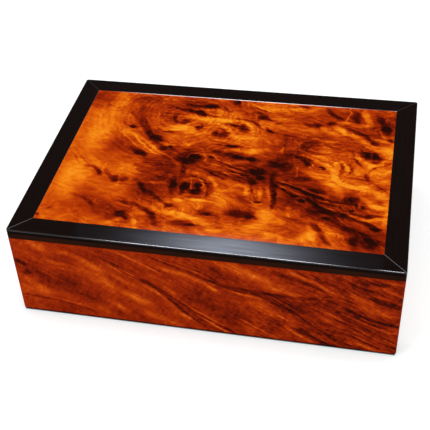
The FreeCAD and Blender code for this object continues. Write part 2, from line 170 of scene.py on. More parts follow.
def blot_group(name, start, full):
    """A small graph that adds one blot to a running total. Going in from the blot's edge, it
    begins at the share start of the way and is full at the share full."""
    group = bpy.data.node_groups.new(name, "ShaderNodeTree")
    for socket in ("Place", "Middle", "Lean", "Sizes"):
        group.interface.new_socket(socket, in_out="INPUT", socket_type="NodeSocketVector")
    for socket in ("Strength", "Total"):
        group.interface.new_socket(socket, in_out="INPUT", socket_type="NodeSocketFloat")
    group.interface.new_socket("Total", in_out="OUTPUT", socket_type="NodeSocketFloat")
    given = group.nodes.new("NodeGroupInput").outputs
    mark = {0: given["Place"], 1: given["Middle"], 2: given["Lean"], 3: given["Sizes"]}
    leaned = add_node(group, "Mapping", mark, vector_type="TEXTURE")
    fade = add_node(group, "TexGradient", {0: leaned}, gradient_type="SPHERICAL")
    # the gradient and smoothstep both stay between 0 and 1 by themselves, so no clamp is needed
    step = {"interpolation_type": "SMOOTHSTEP" if start > 0 else "LINEAR", "clamp": False}
    share = add_node(group, "MapRange", {0: fade.outputs["Fac"], 1: start, 2: full}, **step)
    total = add_up(group, given["Total"], [(share, given["Strength"])])
    group.links.new(total.outputs[0], group.nodes.new("NodeGroupOutput").inputs["Total"])
    return group


SOFT_BLOT = blot_group("soft_blot", 0.0, 1.0)
CRISP_BLOT = blot_group("crisp_blot", 0.03, 0.68)
print("made the graphs", SOFT_BLOT.name, "and", CRISP_BLOT.name)


def lay_blots(tree, place, blots, swell=1.0, crisp=False):
    """Sum of blots: 0 away from all of them, up to their strengths in their middles. swell makes
    each one larger than it is listed, because a faded rim makes a blot look smaller."""
    total = 0.0
    for x, y, long, wide, lean, strength in blots:
        values = {
            "Place": place,
            "Middle": (x, y, 0),
            "Lean": (0, 0, math.radians(lean)),
            "Sizes": (swell * long, swell * wide, 1),
            "Strength": strength,
            "Total": total,
        }
        total = add_node(tree, "Group", values, node_tree=CRISP_BLOT if crisp else SOFT_BLOT)
    return total


def strung(streaks):
    """Turns streaks (half width, strength, points along it) into blots, one for each stretch."""
    blots = []
    for wide, strength, *points in streaks:
        for (x, y), (next_x, next_y) in zip(points, points[1:]):
            run, rise = next_x - x, next_y - y
            long = OVERLAP * math.hypot(run, rise)
            lean = math.degrees(math.atan2(rise, run))
            blots.append((x + run / 2, y + rise / 2, long, wide, lean, strength))
    return blots


# %% [markdown]
# ## The burl panel's clouds
#
# The panel is the box's face: a quiet, honey-coloured left side with faint rings, dark flames
# across the middle, and a swirl of streaks towards the right and front. Its figure could be left
# to noise alone, but then no knot would be where it should be, so every larger mark is placed
# one by one, on a plan whose zero is the middle of the lid. The widest marks are the clouds. Each
# is x, y, half length, half width, lean and strength.

# %% Clouds of the burl
BURL_CLOUDS = [
    # left part
    (-103, 65, 13, 13, 0, 0.9), (-69, 65.5, 10, 5, 0, 0.6), (-50, 58, 28, 17, 0, 0.42),
    (-73, 11, 15, 8, -10, 0.5), (-50, -5, 18, 10, -20, 0.35), (-40, -14, 13, 17, 0, 0.75),
    (-40, -34, 12, 13, -20, 0.8), (-60, -46, 28, 14, -20, 0.3), (-46, -36, 12, 9, -40, 0.45),
    (-55, -60, 13, 9, -30, 0.6), (-77, -50, 20, 7, -35, 0.45), (-62, 48, 14, 22, 0, 0.3),
    (-58, 30, 9, 16, 30, 0.3), (-77, 4, 15, 16, -20, 0.34), (-46, 44, 6, 16, 0, 0.3),
    (-50, 20, 8, 8, -40, 0.4), (-72, -62, 18, 10, -10, 0.3), (-92, -58, 14, 9, -40, 0.25),
    (-52, -22, 14, 9, -30, 0.25),
    # middle
    (-33, 66, 11, 8, 0, 0.6), (-18, 66, 16, 7, 0, 0.35), (-3, 64, 16, 9, 0, 0.3), (-30, 58, 17, 8, 0, 0.35),
    (12, 58, 13, 8, -30, 0.45), (-12, 14, 24, 10, -10, 0.42), (-28, 3, 11, 9, 0, 0.7),
    (2, -3, 40, 16, -6, 0.6), (22, -10, 13, 12, 0, 0.55), (-31, -15, 12, 22, 0, 0.7),
    (-14, -28, 14, 14, 0, 0.35), (30, 20, 12, 24, 0, 0.42), (17, -51, 15, 10, 0, 0.55),
    (20, -36, 13, 8, -30, 0.4), (-33, -62, 9, 9, -40, 0.55), (-8, -64, 18, 7, 0, 0.25),
    (4, -10, 30, 9, -14, 0.4), (24, -12, 10, 12, 0, 0.35), (-15, -29, 10, 11, 0, 0.4),
    (40, 9, 12, 8, 0, 0.35), (45, -26, 13, 20, 10, 0.6),
    # right part
    (52, 57, 26, 10, 0, 0.58), (68, 67, 12, 7, 0, 0.55), (81, 62, 8, 15, 0, 0.5),
    (102, 57, 13, 18, 10, 1.0), (86, 46, 15, 10, -40, 0.5), (70, 33, 38, 10, 4, 0.45),
    (50, 23, 13, 15, 0, 0.6), (43, 8, 16, 13, 0, 0.6), (78, 22, 13, 13, 0, 0.4), (92, 20, 9, 9, 0, 0.7),
    (47, -12, 16, 9, 0, 0.85), (48, -32, 18, 13, -20, 0.6), (65, -38, 16, 12, -30, 0.85),
    (62, -24, 20, 9, -20, 0.75), (85, -27, 11, 8, 0, 0.7), (88, -38, 15, 7, 0, 0.5),
    (88, -54, 27, 13, -40, 0.88), (98, -65, 16, 13, 0, 0.7), (53, -60, 12, 10, 0, 0.45),
    (102, -13, 9, 6, 0, 0.35),
]
print("burl clouds:", len(BURL_CLOUDS))

# %% [markdown]
# ## The eyes
#
# The eyes are the ends of tiny twigs cut across, dark and about 2 to 4 mm wide, and the rings
# run round them. They are written like the clouds, in the same order of numbers.

# %% Eyes of the burl
BURL_KNOTS = [
    # left part
    (-70, 31.5, 2.4, 1.8, 0, 1), (-78.7, -22.3, 2.8, 2, -60, 1), (-66.5, -27, 3.4, 3.2, -30, 0.8),
    (-60, -27.3, 2.4, 2.2, 0, 0.45), (-57, 1.5, 5, 2.6, -25, 0.75), (-43.5, 9.8, 2.4, 2, 0, 0.9),
    (-38.5, 11, 1.9, 1.6, 0, 0.9), (-43, 28, 4.2, 1.3, 0, 0.85), (-50.5, 19.5, 4.2, 3.4, -40, 0.75),
    (-53.8, -61, 3.6, 3, 0, 0.65), (-50.5, -63.8, 2, 1.5, -50, 0.6), (-99.5, -61.5, 1.4, 1.2, 0, 0.5),
    (-105.4, -69, 1.4, 1.2, 0, 0.8),
    # upper middle
    (-20.5, 62.3, 4.6, 2.4, 0, 0.9), (-27, 53.6, 3.4, 2.2, -20, 0.9), (-3, 69.8, 2.8, 3, 0, 0.9),
    (-34.5, 41.8, 2.4, 2.6, 0, 0.8), (-24, 35.5, 2.6, 2.6, 0, 0.95), (-11.8, 30.3, 2.4, 2.6, 0, 0.9),
    (-5, 30.5, 3.6, 3, 0, 1), (-0.4, 41.5, 2.8, 1.6, -15, 0.85), (6, 38.8, 4.4, 3, -50, 0.85),
    (17.6, 53, 4, 2.4, -15, 0.9), (29.4, 48, 2.2, 1.1, 0, 0.7), (24.4, 37.8, 2.3, 1.5, -35, 0.95),
    (2.6, 17.4, 4.2, 1.7, 0, 0.95), (8.5, 6.2, 4.4, 2.5, 0, 0.9), (17, 5.6, 3.3, 2.4, 0, 0.85),
    (-19.6, 3.6, 3.6, 2.6, 0, 0.8), (-8.9, 4, 1.6, 1.4, 0, 0.9), (-28, 2.5, 5, 4.5, 0, 0.35),
    (32.8, 2.5, 4, 4, 0, 0.5),
    # lower middle
    (-22.5, -2.5, 4.5, 3.5, 0, 0.6), (-20.3, -28.5, 3, 3.6, 0, 1), (-11.5, -27.2, 2.4, 3.6, 0, 1),
    (-12.5, -33, 3.6, 2.6, 0, 0.7), (-21, -34.5, 1.8, 2.6, 0, 0.5), (-26, -48.6, 2.8, 2, -20, 1),
    (-0.4, -53.1, 1.8, 1.4, 0, 0.8), (-2.5, -52.3, 5.5, 2.8, 0, 0.55), (24.8, -51.8, 2.8, 2, 10, 0.9),
    (18, -50, 8.5, 3.6, 0, 0.5), (29.2, -53.2, 1.5, 0.9, 0, 0.4), (-8.8, -64.3, 2.8, 1.3, 0, 0.7),
    (-15.5, -63.8, 6.5, 2.4, 0, 0.5), (28.3, -37.1, 2.2, 1.4, 0, 0.75), (23.5, -6.5, 5, 3.6, 0, 0.65),
    (20.5, -17.5, 4, 2.6, -50, 0.55), (26, -13.5, 3.4, 3, 0, 0.5),
    # upper right
    (44.3, 70, 4, 1.6, 0, 0.7), (80.7, 62, 2.6, 7, 0, 0.5), (101.5, 49.8, 3.2, 3.4, 0, 0.8),
    (54.3, 48.5, 5.8, 2.3, 0, 0.8), (65, 52, 3.4, 2.2, 0, 0.85), (94.4, 33.2, 2.8, 1.4, -20, 0.9),
    (103.6, 37, 2.2, 1.2, 0, 0.7), (90.6, 18.3, 2.2, 1.8, 0, 0.6), (95.2, 17.8, 2.4, 2.8, 0, 0.7),
    (92.5, 19, 5, 4, -30, 0.4), (53.9, 4.6, 2.8, 2.2, -50, 0.8), (63.6, 2.4, 2.8, 1.2, -35, 0.9),
    (40.7, 1, 5, 3.6, 0, 0.6), (91.8, -3, 1.6, 3, 0, 0.7),
    # lower right
    (52, -10.8, 5.5, 2.2, 0, 0.55), (62.8, -20.8, 5.4, 1.9, -20, 0.8), (54.3, -32.2, 1.9, 1.6, 0, 0.9),
    (49.3, -28.6, 2.5, 1.4, 0, 0.5), (63, -39, 5, 5.5, 0, 0.4), (84, -27, 5, 3.5, 0, 0.5),
    (85, -37.6, 1.7, 1.4, 0, 0.9), (87.8, -31.4, 0.9, 1.8, 0, 0.7), (91.8, -33.6, 1.4, 1.4, 0, 0.7),
    (100.8, -52.2, 3.2, 1.7, 0, 0.9), (71.4, -46.4, 2.4, 1.9, 0, 0.7), (88.6, -64.3, 2.4, 4, 0, 0.5),
    (96.4, -65.5, 4, 4.4, 0, 0.5),
]
print("burl eyes:", len(BURL_KNOTS))

# %% [markdown]
# ## Dark strokes
#
# Flames and hairlines are strokes: half width, strength and the points that the stroke runs
# through. The dark ones are torn fibres full of resin.

# %% Dark strokes of the burl
BURL_DARK = [
    # left part
    (2.4, 0.25, (-70, 57), (-68, 49.5), (-66, 42.5), (-63, 35)),
    (2.8, 0.5, (-64, 37), (-60, 30), (-56, 24.5), (-50.5, 18.5), (-45, 11)),
    (1.6, 0.6, (-59, 29), (-54, 22), (-49.5, 17)), (1.4, 0.3, (-75, 49), (-71.5, 44), (-67, 36.5)),
    (0.7, 0.35, (-94, 57.5), (-92, 54.5), (-86, 52), (-81, 55)),
    (1, 0.2, (-95, 57), (-92.5, 47.5), (-94.5, 40)),
    (1.5, 0.6, (-42.5, 49.5), (-43, 44), (-40.5, 39.5), (-35.5, 39)),
    (1, 0.5, (-50, 60), (-42, 56.5), (-36, 55.5)), (2.6, 0.5, (-66, 8), (-60.5, 4), (-54.5, 1)),
    (1, 0.6, (-88, -16.5), (-82.5, -18), (-78.5, -22.5)), (1.8, 0.5, (-75, -19), (-71.5, -24), (-67, -28)),
    (1.8, 0.5, (-53, -26), (-49, -30), (-46, -36), (-38, -40)),
    (1.5, 0.85, (-54, -49.5), (-44.5, -51.5), (-39.5, -55), (-35, -58)),
    (1.3, 0.3, (-88, -46), (-81, -49), (-75, -53), (-71.5, -59)),
    (0.7, 0.25, (-106, 0), (-100, -7), (-95, -14)), (0.6, 0.25, (-101, 0), (-94, -9), (-88, -15)),
    (0.8, 0.35, (-79, 40), (-76, 34), (-72, 31.5)),
    # upper middle
    (1.2, 0.6, (-36, 61.5), (-28, 61.5), (-20, 62)), (0.9, 0.5, (-17, 62.5), (-14, 61.5)),
    (1.9, 0.7, (-40, 55.5), (-33, 55), (-27, 53.5), (-23, 52)),
    (0.8, 0.5, (-25, 51.5), (-17, 51), (-10, 49.5)), (0.8, 0.5, (-12.5, 64), (-9, 59.5), (-5.5, 57)),
    (0.8, 0.3, (-3, 65.5), (2, 64.5)), (0.7, 0.4, (9.5, 66), (15.5, 63), (20.5, 59.5)),
    (1.6, 0.4, (10, 61), (15, 58), (18.5, 54)), (0.8, 0.6, (19, 52), (25, 51)),
    (1.1, 0.75, (2.5, 49.5), (9.5, 48), (13.5, 46), (16, 43), (18.5, 40.3)),
    (1.6, 0.5, (14, 45.5), (16.5, 42.5)), (0.8, 0.6, (22, 41), (24.4, 38)),
    (0.7, 0.5, (25, 37.5), (29, 36.5), (36, 35)), (1.5, 0.7, (-5.5, 43), (-1, 41.5)),
    (0.9, 0.5, (-26, 41), (-22.5, 40), (-21.5, 37)), (0.7, 0.6, (-11, 36.7), (-7.4, 36), (-4.6, 33)),
    (1.5, 0.3, (-16, 28), (-8, 27.5)), (1.3, 0.35, (-10.3, 21.7), (-4, 21), (1.5, 18.5)),
    (0.8, 0.5, (3, 17.4), (8.3, 17.4), (13.3, 17.2)), (0.6, 0.4, (-8, 18), (-1, 18)),
    (2.2, 0.5, (-9, 11), (1, 8), (7, 6)),
    # lower middle
    (1.8, 0.5, (-25, -9), (-24, -14), (-24.5, -20)), (2, 0.6, (-29, -21), (-27.5, -28.5), (-27, -35)),
    (0.8, 0.5, (-21, -18.6), (-16, -17.1), (-11, -19.3), (-7.4, -23.6), (-5.3, -28.6), (-4.6, -33.6)),
    (1.4, 0.5, (-5, -23), (-3.1, -28.6), (-4, -34.5)),
    (0.9, 0.7, (-10, -10), (-5, -13), (1, -16.5), (4, -17)),
    (0.7, 0.5, (-5, -11), (2, -13), (9, -17), (14, -18)),
    (0.7, 0.5, (0, -5), (6, -9), (13, -11), (18, -12)), (0.7, 0.5, (-2, -1), (4, -4), (10, -6), (16, -7)),
    (0.7, 0.5, (5, -13), (10, -14.5), (17, -14)),
    (1.8, 0.5, (34, -8), (33.5, -16), (35, -24), (37, -33), (38, -40)),
    (1.2, 0.6, (-36, -42), (-31.7, -44.3), (-27.4, -47.9)), (0.8, 0.4, (-25, -49), (-20.5, -49.3)),
    (1.8, 0.5, (-37, -56), (-33, -61), (-30.5, -66)), (0.9, 0.5, (-9, -50), (-5, -51.5)),
    (0.7, 0.5, (1, -53.2), (5, -53)), (0.7, 0.5, (-6, -64.3), (-2.5, -64.5)),
    (1.8, 0.3, (16.9, -34.3), (23.3, -39.3)), (0.8, 0.4, (21, -21), (23, -27), (26, -33), (28, -36.5)),
    # upper right
    (1.5, 0.7, (60.7, 68), (63.6, 63.1), (68.6, 60.3), (71, 58)),
    (2.4, 0.7, (95.7, 64), (98.5, 57), (101, 50), (102, 45)),
    (0.8, 0.4, (50.7, 58), (55.7, 55.3), (60, 53.5)),
    (1.6, 0.6, (77, 47.4), (85, 42.4), (89.3, 38.9), (94, 33.6)),
    (1.5, 0.55, (48, 22), (48.5, 26), (51, 28.6), (57, 29)),
    (0.8, 0.4, (52, 19), (51.5, 23), (54, 25.5), (60, 26.5)),
    (0.8, 0.6, (81.4, 21), (83.6, 13.9), (86.4, 9.6)),
    (0.9, 0.6, (87, 24), (90.5, 22), (96, 21.5), (98.5, 17), (97.5, 13), (93.5, 12)),
    (0.6, 0.5, (93.6, 2.4), (96.4, 6.7), (105.7, 13.1)), (1.2, 0.7, (75.5, 9), (75.7, 4.6), (75.3, -2)),
    (0.9, 0.5, (81, 8), (82, 3), (80, -2)), (1.8, 0.6, (40, 13), (48, 11.5), (55, 8)),
    (0.8, 0.6, (50.5, 8.5), (53, 5)), (0.5, 0.22, (36.5, 31), (37, 22), (39, 12)),
    (0.5, 0.22, (41, 29), (41.5, 20)), (0.5, 0.22, (45, 27), (45.5, 20), (48, 14)),
    (0.6, 0.3, (35, 35), (42, 34), (47, 32.5)), (0.6, 0.3, (58, 35), (68, 33), (80, 34)),
    # lower right
    (1.1, 0.5, (79.3, -5), (86, -6.5), (95.7, -6.4)), (0.8, 0.5, (97.9, -10.7), (105.7, -17.1)),
    (1.2, 0.8, (39.3, -16.4), (46.4, -18.6), (52.9, -22.1), (58.6, -25.7), (65.7, -27.9)),
    (1.4, 0.6, (36.5, -18), (37, -28), (37.5, -39)), (0.8, 0.5, (38.5, -21), (43, -24.5), (49, -28.5)),
    (2.4, 0.6, (58, -28.6), (63.6, -33.6), (68.6, -38.6), (75, -40.7), (80.7, -41.6)),
    (0.8, 0.5, (66, -28), (71, -29.5), (78, -30.5), (86, -31)),
    (0.7, 0.5, (69, -32), (75, -34.5), (80, -38)), (1.1, 0.7, (86.4, -40), (94.3, -40.9), (101.4, -40)),
    (1.7, 0.7, (80.7, -42.1), (87.9, -45), (95.7, -47.6), (100.7, -51.6)),
    (2.6, 0.65, (76, -48), (83.6, -54.3), (90.7, -57.1), (96.4, -61.4), (102.1, -64.3)),
    (1, 0.4, (50.7, -50), (56.4, -52.9), (63.6, -53.6)),
    (1.8, 0.8, (63.6, -53.2), (67.1, -57.1), (70.7, -63.6), (74, -68.5)),
    (1.5, 0.5, (100, -26), (103.5, -29)),
]
print("dark strokes:", len(BURL_DARK))

# %% [markdown]
# ## Light strokes
#
# The light strokes are bands where the fibres turn and throw the light back. They run beside
# the dark ones and part them, which is what gives burl its depth.

# %% Light strokes of the burl
BURL_LIGHT = [
    # left part
    (0.6, 0.4, (-75, 27), (-73, 21), (-69, 16.5), (-63, 11.5), (-56, 6.5), (-51, 3)),
    (1.3, 0.5, (-71, 27), (-66, 22.5), (-62, 18)), (1.8, 0.4, (-74, 26), (-71, 24)),
    (0.7, 0.5, (-63, 17), (-57, 11.5), (-51, 6), (-44.5, 1.5)),
    (0.9, 0.6, (-59, 18), (-54.5, 14), (-49.5, 9), (-43, 4)), (0.7, 0.5, (-42, 3), (-35, -1), (-28, -7)),
    (4, 0.2, (-60, 50), (-57, 38)), (0.4, 0.4, (-63.5, -24), (-63, -30)),
    (1, 0.3, (-76.5, -13), (-77, -18)), (1.2, 0.5, (-47.5, -58.3), (-39.5, -58.3)),
    (1.2, 0.45, (-46, -60.5), (-43.5, -65), (-42, -70)), (1.5, 0.6, (-59, -69.5), (-55, -67), (-52.5, -65)),
    (0.8, 0.4, (-51, -28), (-43, -27.5), (-36, -27)), (3, 0.6, (-44, 32), (-36, 35)),
    (7, 0.4, (-92, 45), (-91, 20), (-88, 5)), (7, 0.6, (-96, -20), (-94, -40)),
    (4, 0.35, (-87, 66), (-85, 56)), (4, 0.45, (-64, -14), (-56, -21)), (5, 0.25, (-70, -36), (-60, -38)),
    (2, 0.4, (-88, -8), (-80, -16)),
    # upper middle
    (0.6, 0.5, (-33, 66.5), (-29, 62.8), (-25, 62)), (1.2, 0.6, (-29, 57), (-21, 57.3)),
    (2.2, 0.6, (-13.3, 60), (-13, 53)), (0.6, 0.35, (-25, 69.5), (-19, 67.5), (-13, 64)),
    (1.8, 0.45, (5, 67.5), (8, 67)), (0.7, 0.5, (9.5, 68), (15.5, 65), (20.5, 61.8), (25, 59.5)),
    (2.4, 0.55, (-31, 48.5), (-22, 47), (-12, 47), (-4, 46.5)),
    (1.2, 0.5, (3, 47), (8, 44.5), (11.5, 41), (13, 36)),
    (0.8, 0.35, (-19, 44), (-10.5, 41.3), (-5, 38.5), (-1.5, 33.5)), (0.6, 0.5, (-11, 23.6), (-3, 24.2)),
    (2.5, 0.5, (3, 29), (13, 29)), (2.6, 0.6, (7, 15), (16, 14), (24, 16)),
    (1.4, 0.5, (2, 13.8), (6, 13.8)), (1.4, 0.6, (-34, 8), (-31.5, 8.3)),
    (1.8, 0.5, (-30, 13.5), (-26, 16), (-22, 19.5)), (3.4, 0.6, (-36, 33), (-28, 32)),
    (0.5, 0.7, (-25, 0.5), (-24.5, 3), (-23, 6), (-19.5, 6.8), (-15.5, 6)),
    (0.5, 0.6, (-14.5, 6.5), (-12, 3), (-13, 0)), (0.5, 0.6, (-11, 6.5), (-7.5, 6.5), (-6, 3.5), (-2, 1)),
    (3, 0.35, (27, 54), (33, 50)), (3, 0.35, (24, 46), (31, 43)), (5, 0.25, (20, 30), (20, 22)),
    (2.4, 0.3, (17, 66), (30, 64)),
    # lower middle
    (0.5, 0.5, (-12, -1), (-5, -4), (3, -6.5), (10, -8)), (0.5, 0.5, (-2, -8), (5, -12), (12, -15)),
    (0.5, 0.45, (2, -1), (8, -4.5), (14, -5)), (0.5, 0.4, (7, -10), (15, -13), (20, -13)),
    (1.3, 0.35, (-20, -14.3), (-14.6, -13.6), (-8.9, -15.7), (-4.6, -18.6), (-1, -23.6), (2.6, -28.6)),
    (0.6, 0.5, (-19.6, -20.7), (-15.3, -18.9), (-11.7, -20.7), (-8.9, -25), (-7.4, -30)),
    (0.5, 0.9, (-16.9, -23), (-16, -29.5)), (1.2, 0.5, (-19.5, -36.4), (-16.5, -36.4)),
    (2.4, 0.8, (-23, -41), (-21.5, -44)), (1.1, 0.7, (-14, -41), (-8, -40.3), (-1, -41)),
    (0.6, 0.8, (22.6, -36.2), (26.1, -38.5), (30.4, -38.6)),
    (1.2, 0.6, (18, -22.5), (19.5, -27), (21, -31)), (1, 0.6, (31.5, -21), (32.5, -27), (34, -32)),
    (1, 0.5, (27, -23), (28, -29), (29, -33)), (1.2, 0.4, (12, -22.5), (16, -23)),
    (2.8, 0.7, (30.5, -46), (32.5, -52)), (4, 0.5, (26, -62), (32, -58)),
    (2.2, 0.55, (-27, -55), (-18, -56.5), (-9, -58.5), (-0.5, -62.5)), (1.5, 0.5, (3, -68), (9, -67.5)),
    (3.5, 0.4, (2, -33), (8, -38)), (1.2, 0.5, (-35, -52), (-31, -56)), (2, 0.35, (4, -44), (6, -50)),
    # upper right
    (1.9, 0.6, (36, 65.3), (48.5, 65.5)), (0.6, 0.7, (75.7, 71), (76, 65.3), (74.6, 60.3), (73.9, 57.4)),
    (0.4, 0.5, (75.5, 60.5), (78.5, 57)), (1.9, 0.8, (86.2, 69), (87, 63), (89.6, 58), (90, 54), (88, 52)),
    (1.8, 0.75, (69.5, 53), (75, 54.3), (81.4, 52), (88, 51.8)),
    (0.5, 0.6, (97.1, 46.7), (98.6, 42.4), (101.4, 40)), (1, 0.5, (99, 41), (104, 41.5)),
    (1.9, 0.75, (67.5, 49), (72.1, 44.8), (79.3, 40.3), (86.4, 33.9), (92, 29.5)),
    (2, 0.5, (59.5, 47), (60.5, 43)), (1.3, 0.4, (62, 41.7), (68, 41.5)),
    (1.1, 0.8, (93.6, 38), (99.3, 36.4), (106, 33.5)), (3.8, 0.7, (95, 29.5), (101, 25.5), (107, 22)),
    (0.7, 0.4, (55, 33), (64, 31), (72, 32.5), (82, 34)), (3.2, 0.45, (63.5, 24), (63.5, 19)),
    (1.5, 0.6, (57, 14.5), (63.6, 13.2)), (0.4, 0.6, (93.3, 21), (92.7, 16.5)),
    (1.8, 0.8, (83.8, 20), (85.2, 15), (88.8, 10.8), (94, 9)), (1, 0.6, (94, 9), (98.5, 10.5), (101, 14)),
    (1, 0.6, (70.7, 7), (72, 9.8), (75.5, 10.6), (78, 7), (79.5, 1)),
    (1.6, 0.5, (59, 8.6), (65.7, 5.6), (70, 0)), (0.6, 0.5, (49.3, 15.3), (55.7, 11.7), (60, 8.5)),
    (0.6, 0.6, (55.8, 6.5), (57, 4), (55.5, 1.8)), (0.8, 0.5, (36.3, 20), (36.5, 15)),
    (2.2, 0.4, (98, 3), (104, 5)), (1.4, 0.5, (85, -2), (87, -1)),
    # lower right
    (2.1, 0.55, (71.3, 2), (72.4, -5), (76.2, -10.7), (83.6, -14.3), (92.1, -15.2), (99.3, -18.6),
     (106, -23)), (2.4, 0.38, (55, -3.6), (62.1, -7.9), (69.3, -12.1), (73.6, -16.4), (77.9, -23.6)),
    (0.7, 0.6, (47.9, 0), (48, -7)), (0.4, 0.4, (39.3, -5.7), (43.6, -4.4)), (3, 0.4, (102, -6), (104, -8)),
    (0.6, 0.5, (37.9, -15), (43.6, -15.8), (52, -18.5)),
    (0.6, 0.6, (37.9, -18.6), (42.9, -21.6), (49.3, -25), (57.1, -28.2), (63.6, -32.3), (70.7, -36.2),
     (75.7, -39)), (0.6, 0.5, (52.9, -19.5), (58.6, -22.9), (65, -25), (70.7, -26.4)),
    (0.7, 0.5, (65.7, -29.6), (69.3, -31), (75, -35.7), (80.7, -39.6)),
    (1, 0.8, (80.7, -39.8), (86.4, -42.1), (93.6, -44.3), (103, -42.9)),
    (0.4, 0.6, (75, -31.4), (80.7, -32.9), (85, -36), (88.6, -39.2)),
    (0.5, 0.7, (89.3, -30.5), (89.5, -34)), (0.4, 0.6, (85.5, -33), (88, -37)),
    (0.5, 0.5, (52, -30.5), (56, -30.3), (57, -33)), (0.6, 0.5, (77.9, -45), (82.1, -48.6), (87.9, -51.4)),
    (2, 0.5, (68.6, -53), (73.6, -57.5), (78, -60)), (1.4, 0.5, (80.7, -60.7), (85, -68)),
    (4, 0.8, (62, -62), (61, -67)), (1.5, 0.5, (62, -58), (66, -68)), (2, 0.5, (53, -69), (58, -67)),
    (3.4, 0.7, (36, -43.5), (36, -50)), (1.4, 0.5, (47.9, -41), (48.3, -46)),
    (2, 0.4, (52.5, -42), (53.5, -46)), (3, 0.4, (37, -54), (44, -53.5)), (2, 0.3, (38, -66), (46, -68)),
    (1.8, 0.6, (92, -25), (97, -30.5), (103, -32.3)), (1.6, 0.5, (106, -36), (105, -45)),
    (0.6, 0.5, (90.7, -57.5), (94.3, -64.3)), (0.5, 0.5, (99.5, -61), (103, -65)),
]
print("light strokes:", len(BURL_LIGHT))

# %% [markdown]
# ## Rings, colour and lacquer
#
# The colour of burl runs along one scale, from the burnt brown of the eyes through red and
# orange to straw, so one number, the tone, is enough, and a ramp turns it into a colour. Growth
# lines are fine rings round a few centres, made from the sine of the distance to each. Lacquer is
# a coat over the wood, with the IOR of a hard varnish. The shine of the wood itself is turned
# down, because under lacquer only the coat mirrors.


# %% Rings, colour and lacquer
RING_WANDER = 9.0  # how far noise pushes the rings on, in radians
LACQUER_IOR = 1.5


def lay_rings(tree, place, groups):
    """Sum of rings (x, y, reach, spacing, strength), each group fading out at its reach."""
    wander = flat_noise(tree, place, (7, 5), detail=2, seed=71)
    late = add_node(tree, "Math", {0: wander, 1: RING_WANDER}, operation="MULTIPLY")
    total = 0.0
    for x, y, reach, spacing, strength in groups:
        centre = {0: place, 1: (x, y, 0)}
        far = add_node(tree, "VectorMath", centre, operation="DISTANCE").outputs["Value"]
        phase = add_up(tree, late, [(far, 2 * math.pi / spacing)])
        lines = add_node(tree, "Math", {0: phase}, operation="SINE")
        share = add_node(tree, "MapRange", {0: far, 1: reach, 2: 0.5 * reach, 4: strength})
        total = add_up(tree, total, [(lines, share)])
    return total


def tone_ramp(tree, tone, shades):
    """Colour for a tone from 0 to 1, out of a list of places and hex codes."""
    colour = add_node(tree, "ValToRGB", {0: tone})
    ramp = colour.color_ramp
    while len(ramp.elements) < len(shades):
        ramp.elements.new(0.5)
    for step, (at, code) in zip(ramp.elements, shades):
        step.position = at
        step.color = paint(code)
    return colour


def lacquered(tree, colour, roughness, coat, coat_roughness):
    """Wood under clear lacquer, joined to the material's output."""
    finish = {
        "Base Color": colour,
        "Roughness": roughness,
        "IOR": LACQUER_IOR,
        "Specular IOR Level": 0.0,
        "Coat Weight": coat,
        "Coat Roughness": coat_roughness,
        "Coat IOR": LACQUER_IOR,
    }
    add_node(tree, "OutputMaterial", {0: add_node(tree, "BsdfPrincipled", finish)})


BURL_SHADES = [
    (0.0, "#240803"), (0.1, "#3a0a02"), (0.2, "#560f02"), (0.32, "#761903"), (0.45, "#9a2803"),
    (0.57, "#b93a04"), (0.68, "#d25006"), (0.79, "#e86a0a"), (0.9, "#f78410"), (1.0, "#ff9c20"),
]
BURL_RINGS = [
    (-40, 50, 90, 4.2, 0.04), (-15, -29, 20, 3.4, 0.04), (94, 18, 14, 3.2, 0.04),
    (64, 12, 40, 3.0, 0.03), (54, -32, 10, 2.6, 0.04), (-36, 46, 60, 3.4, 0.035),
]
print("burl colours:", len(BURL_SHADES), "groups of rings:", len(BURL_RINGS))

# %% [markdown]
# ## Burl under lacquer
#
# Four bends of the place come first: a slow one, a closer one, a frayed one that follows the
# fibres, and a wide drift for the plain noise. Clouds lie on the closer one, so their outlines
# wander, and strokes and knots on the frayed one, so their edges look torn. Each knot also has a
# wide dim halo, and fine contour lines follow clouds and halos, so that they wrap round the knots
# as real growth does. Piles of blots are limited by a hyperbolic tangent, which never makes a
# hard edge. Fibres are strong in the middle, slant at the front right and fade in the calm left
# end, where real burl is quiet too.


# %% Thuya burl
# two very large blots, which say where the fibres slant and where the burl is calm
SLANTING_PART = (75, -42, 62, 30, -30, 1.6)
CALM_END = (-98, 0, 58, 120, 0, 1.7)
BURL_TONE = 0.727  # the tone where nothing is laid


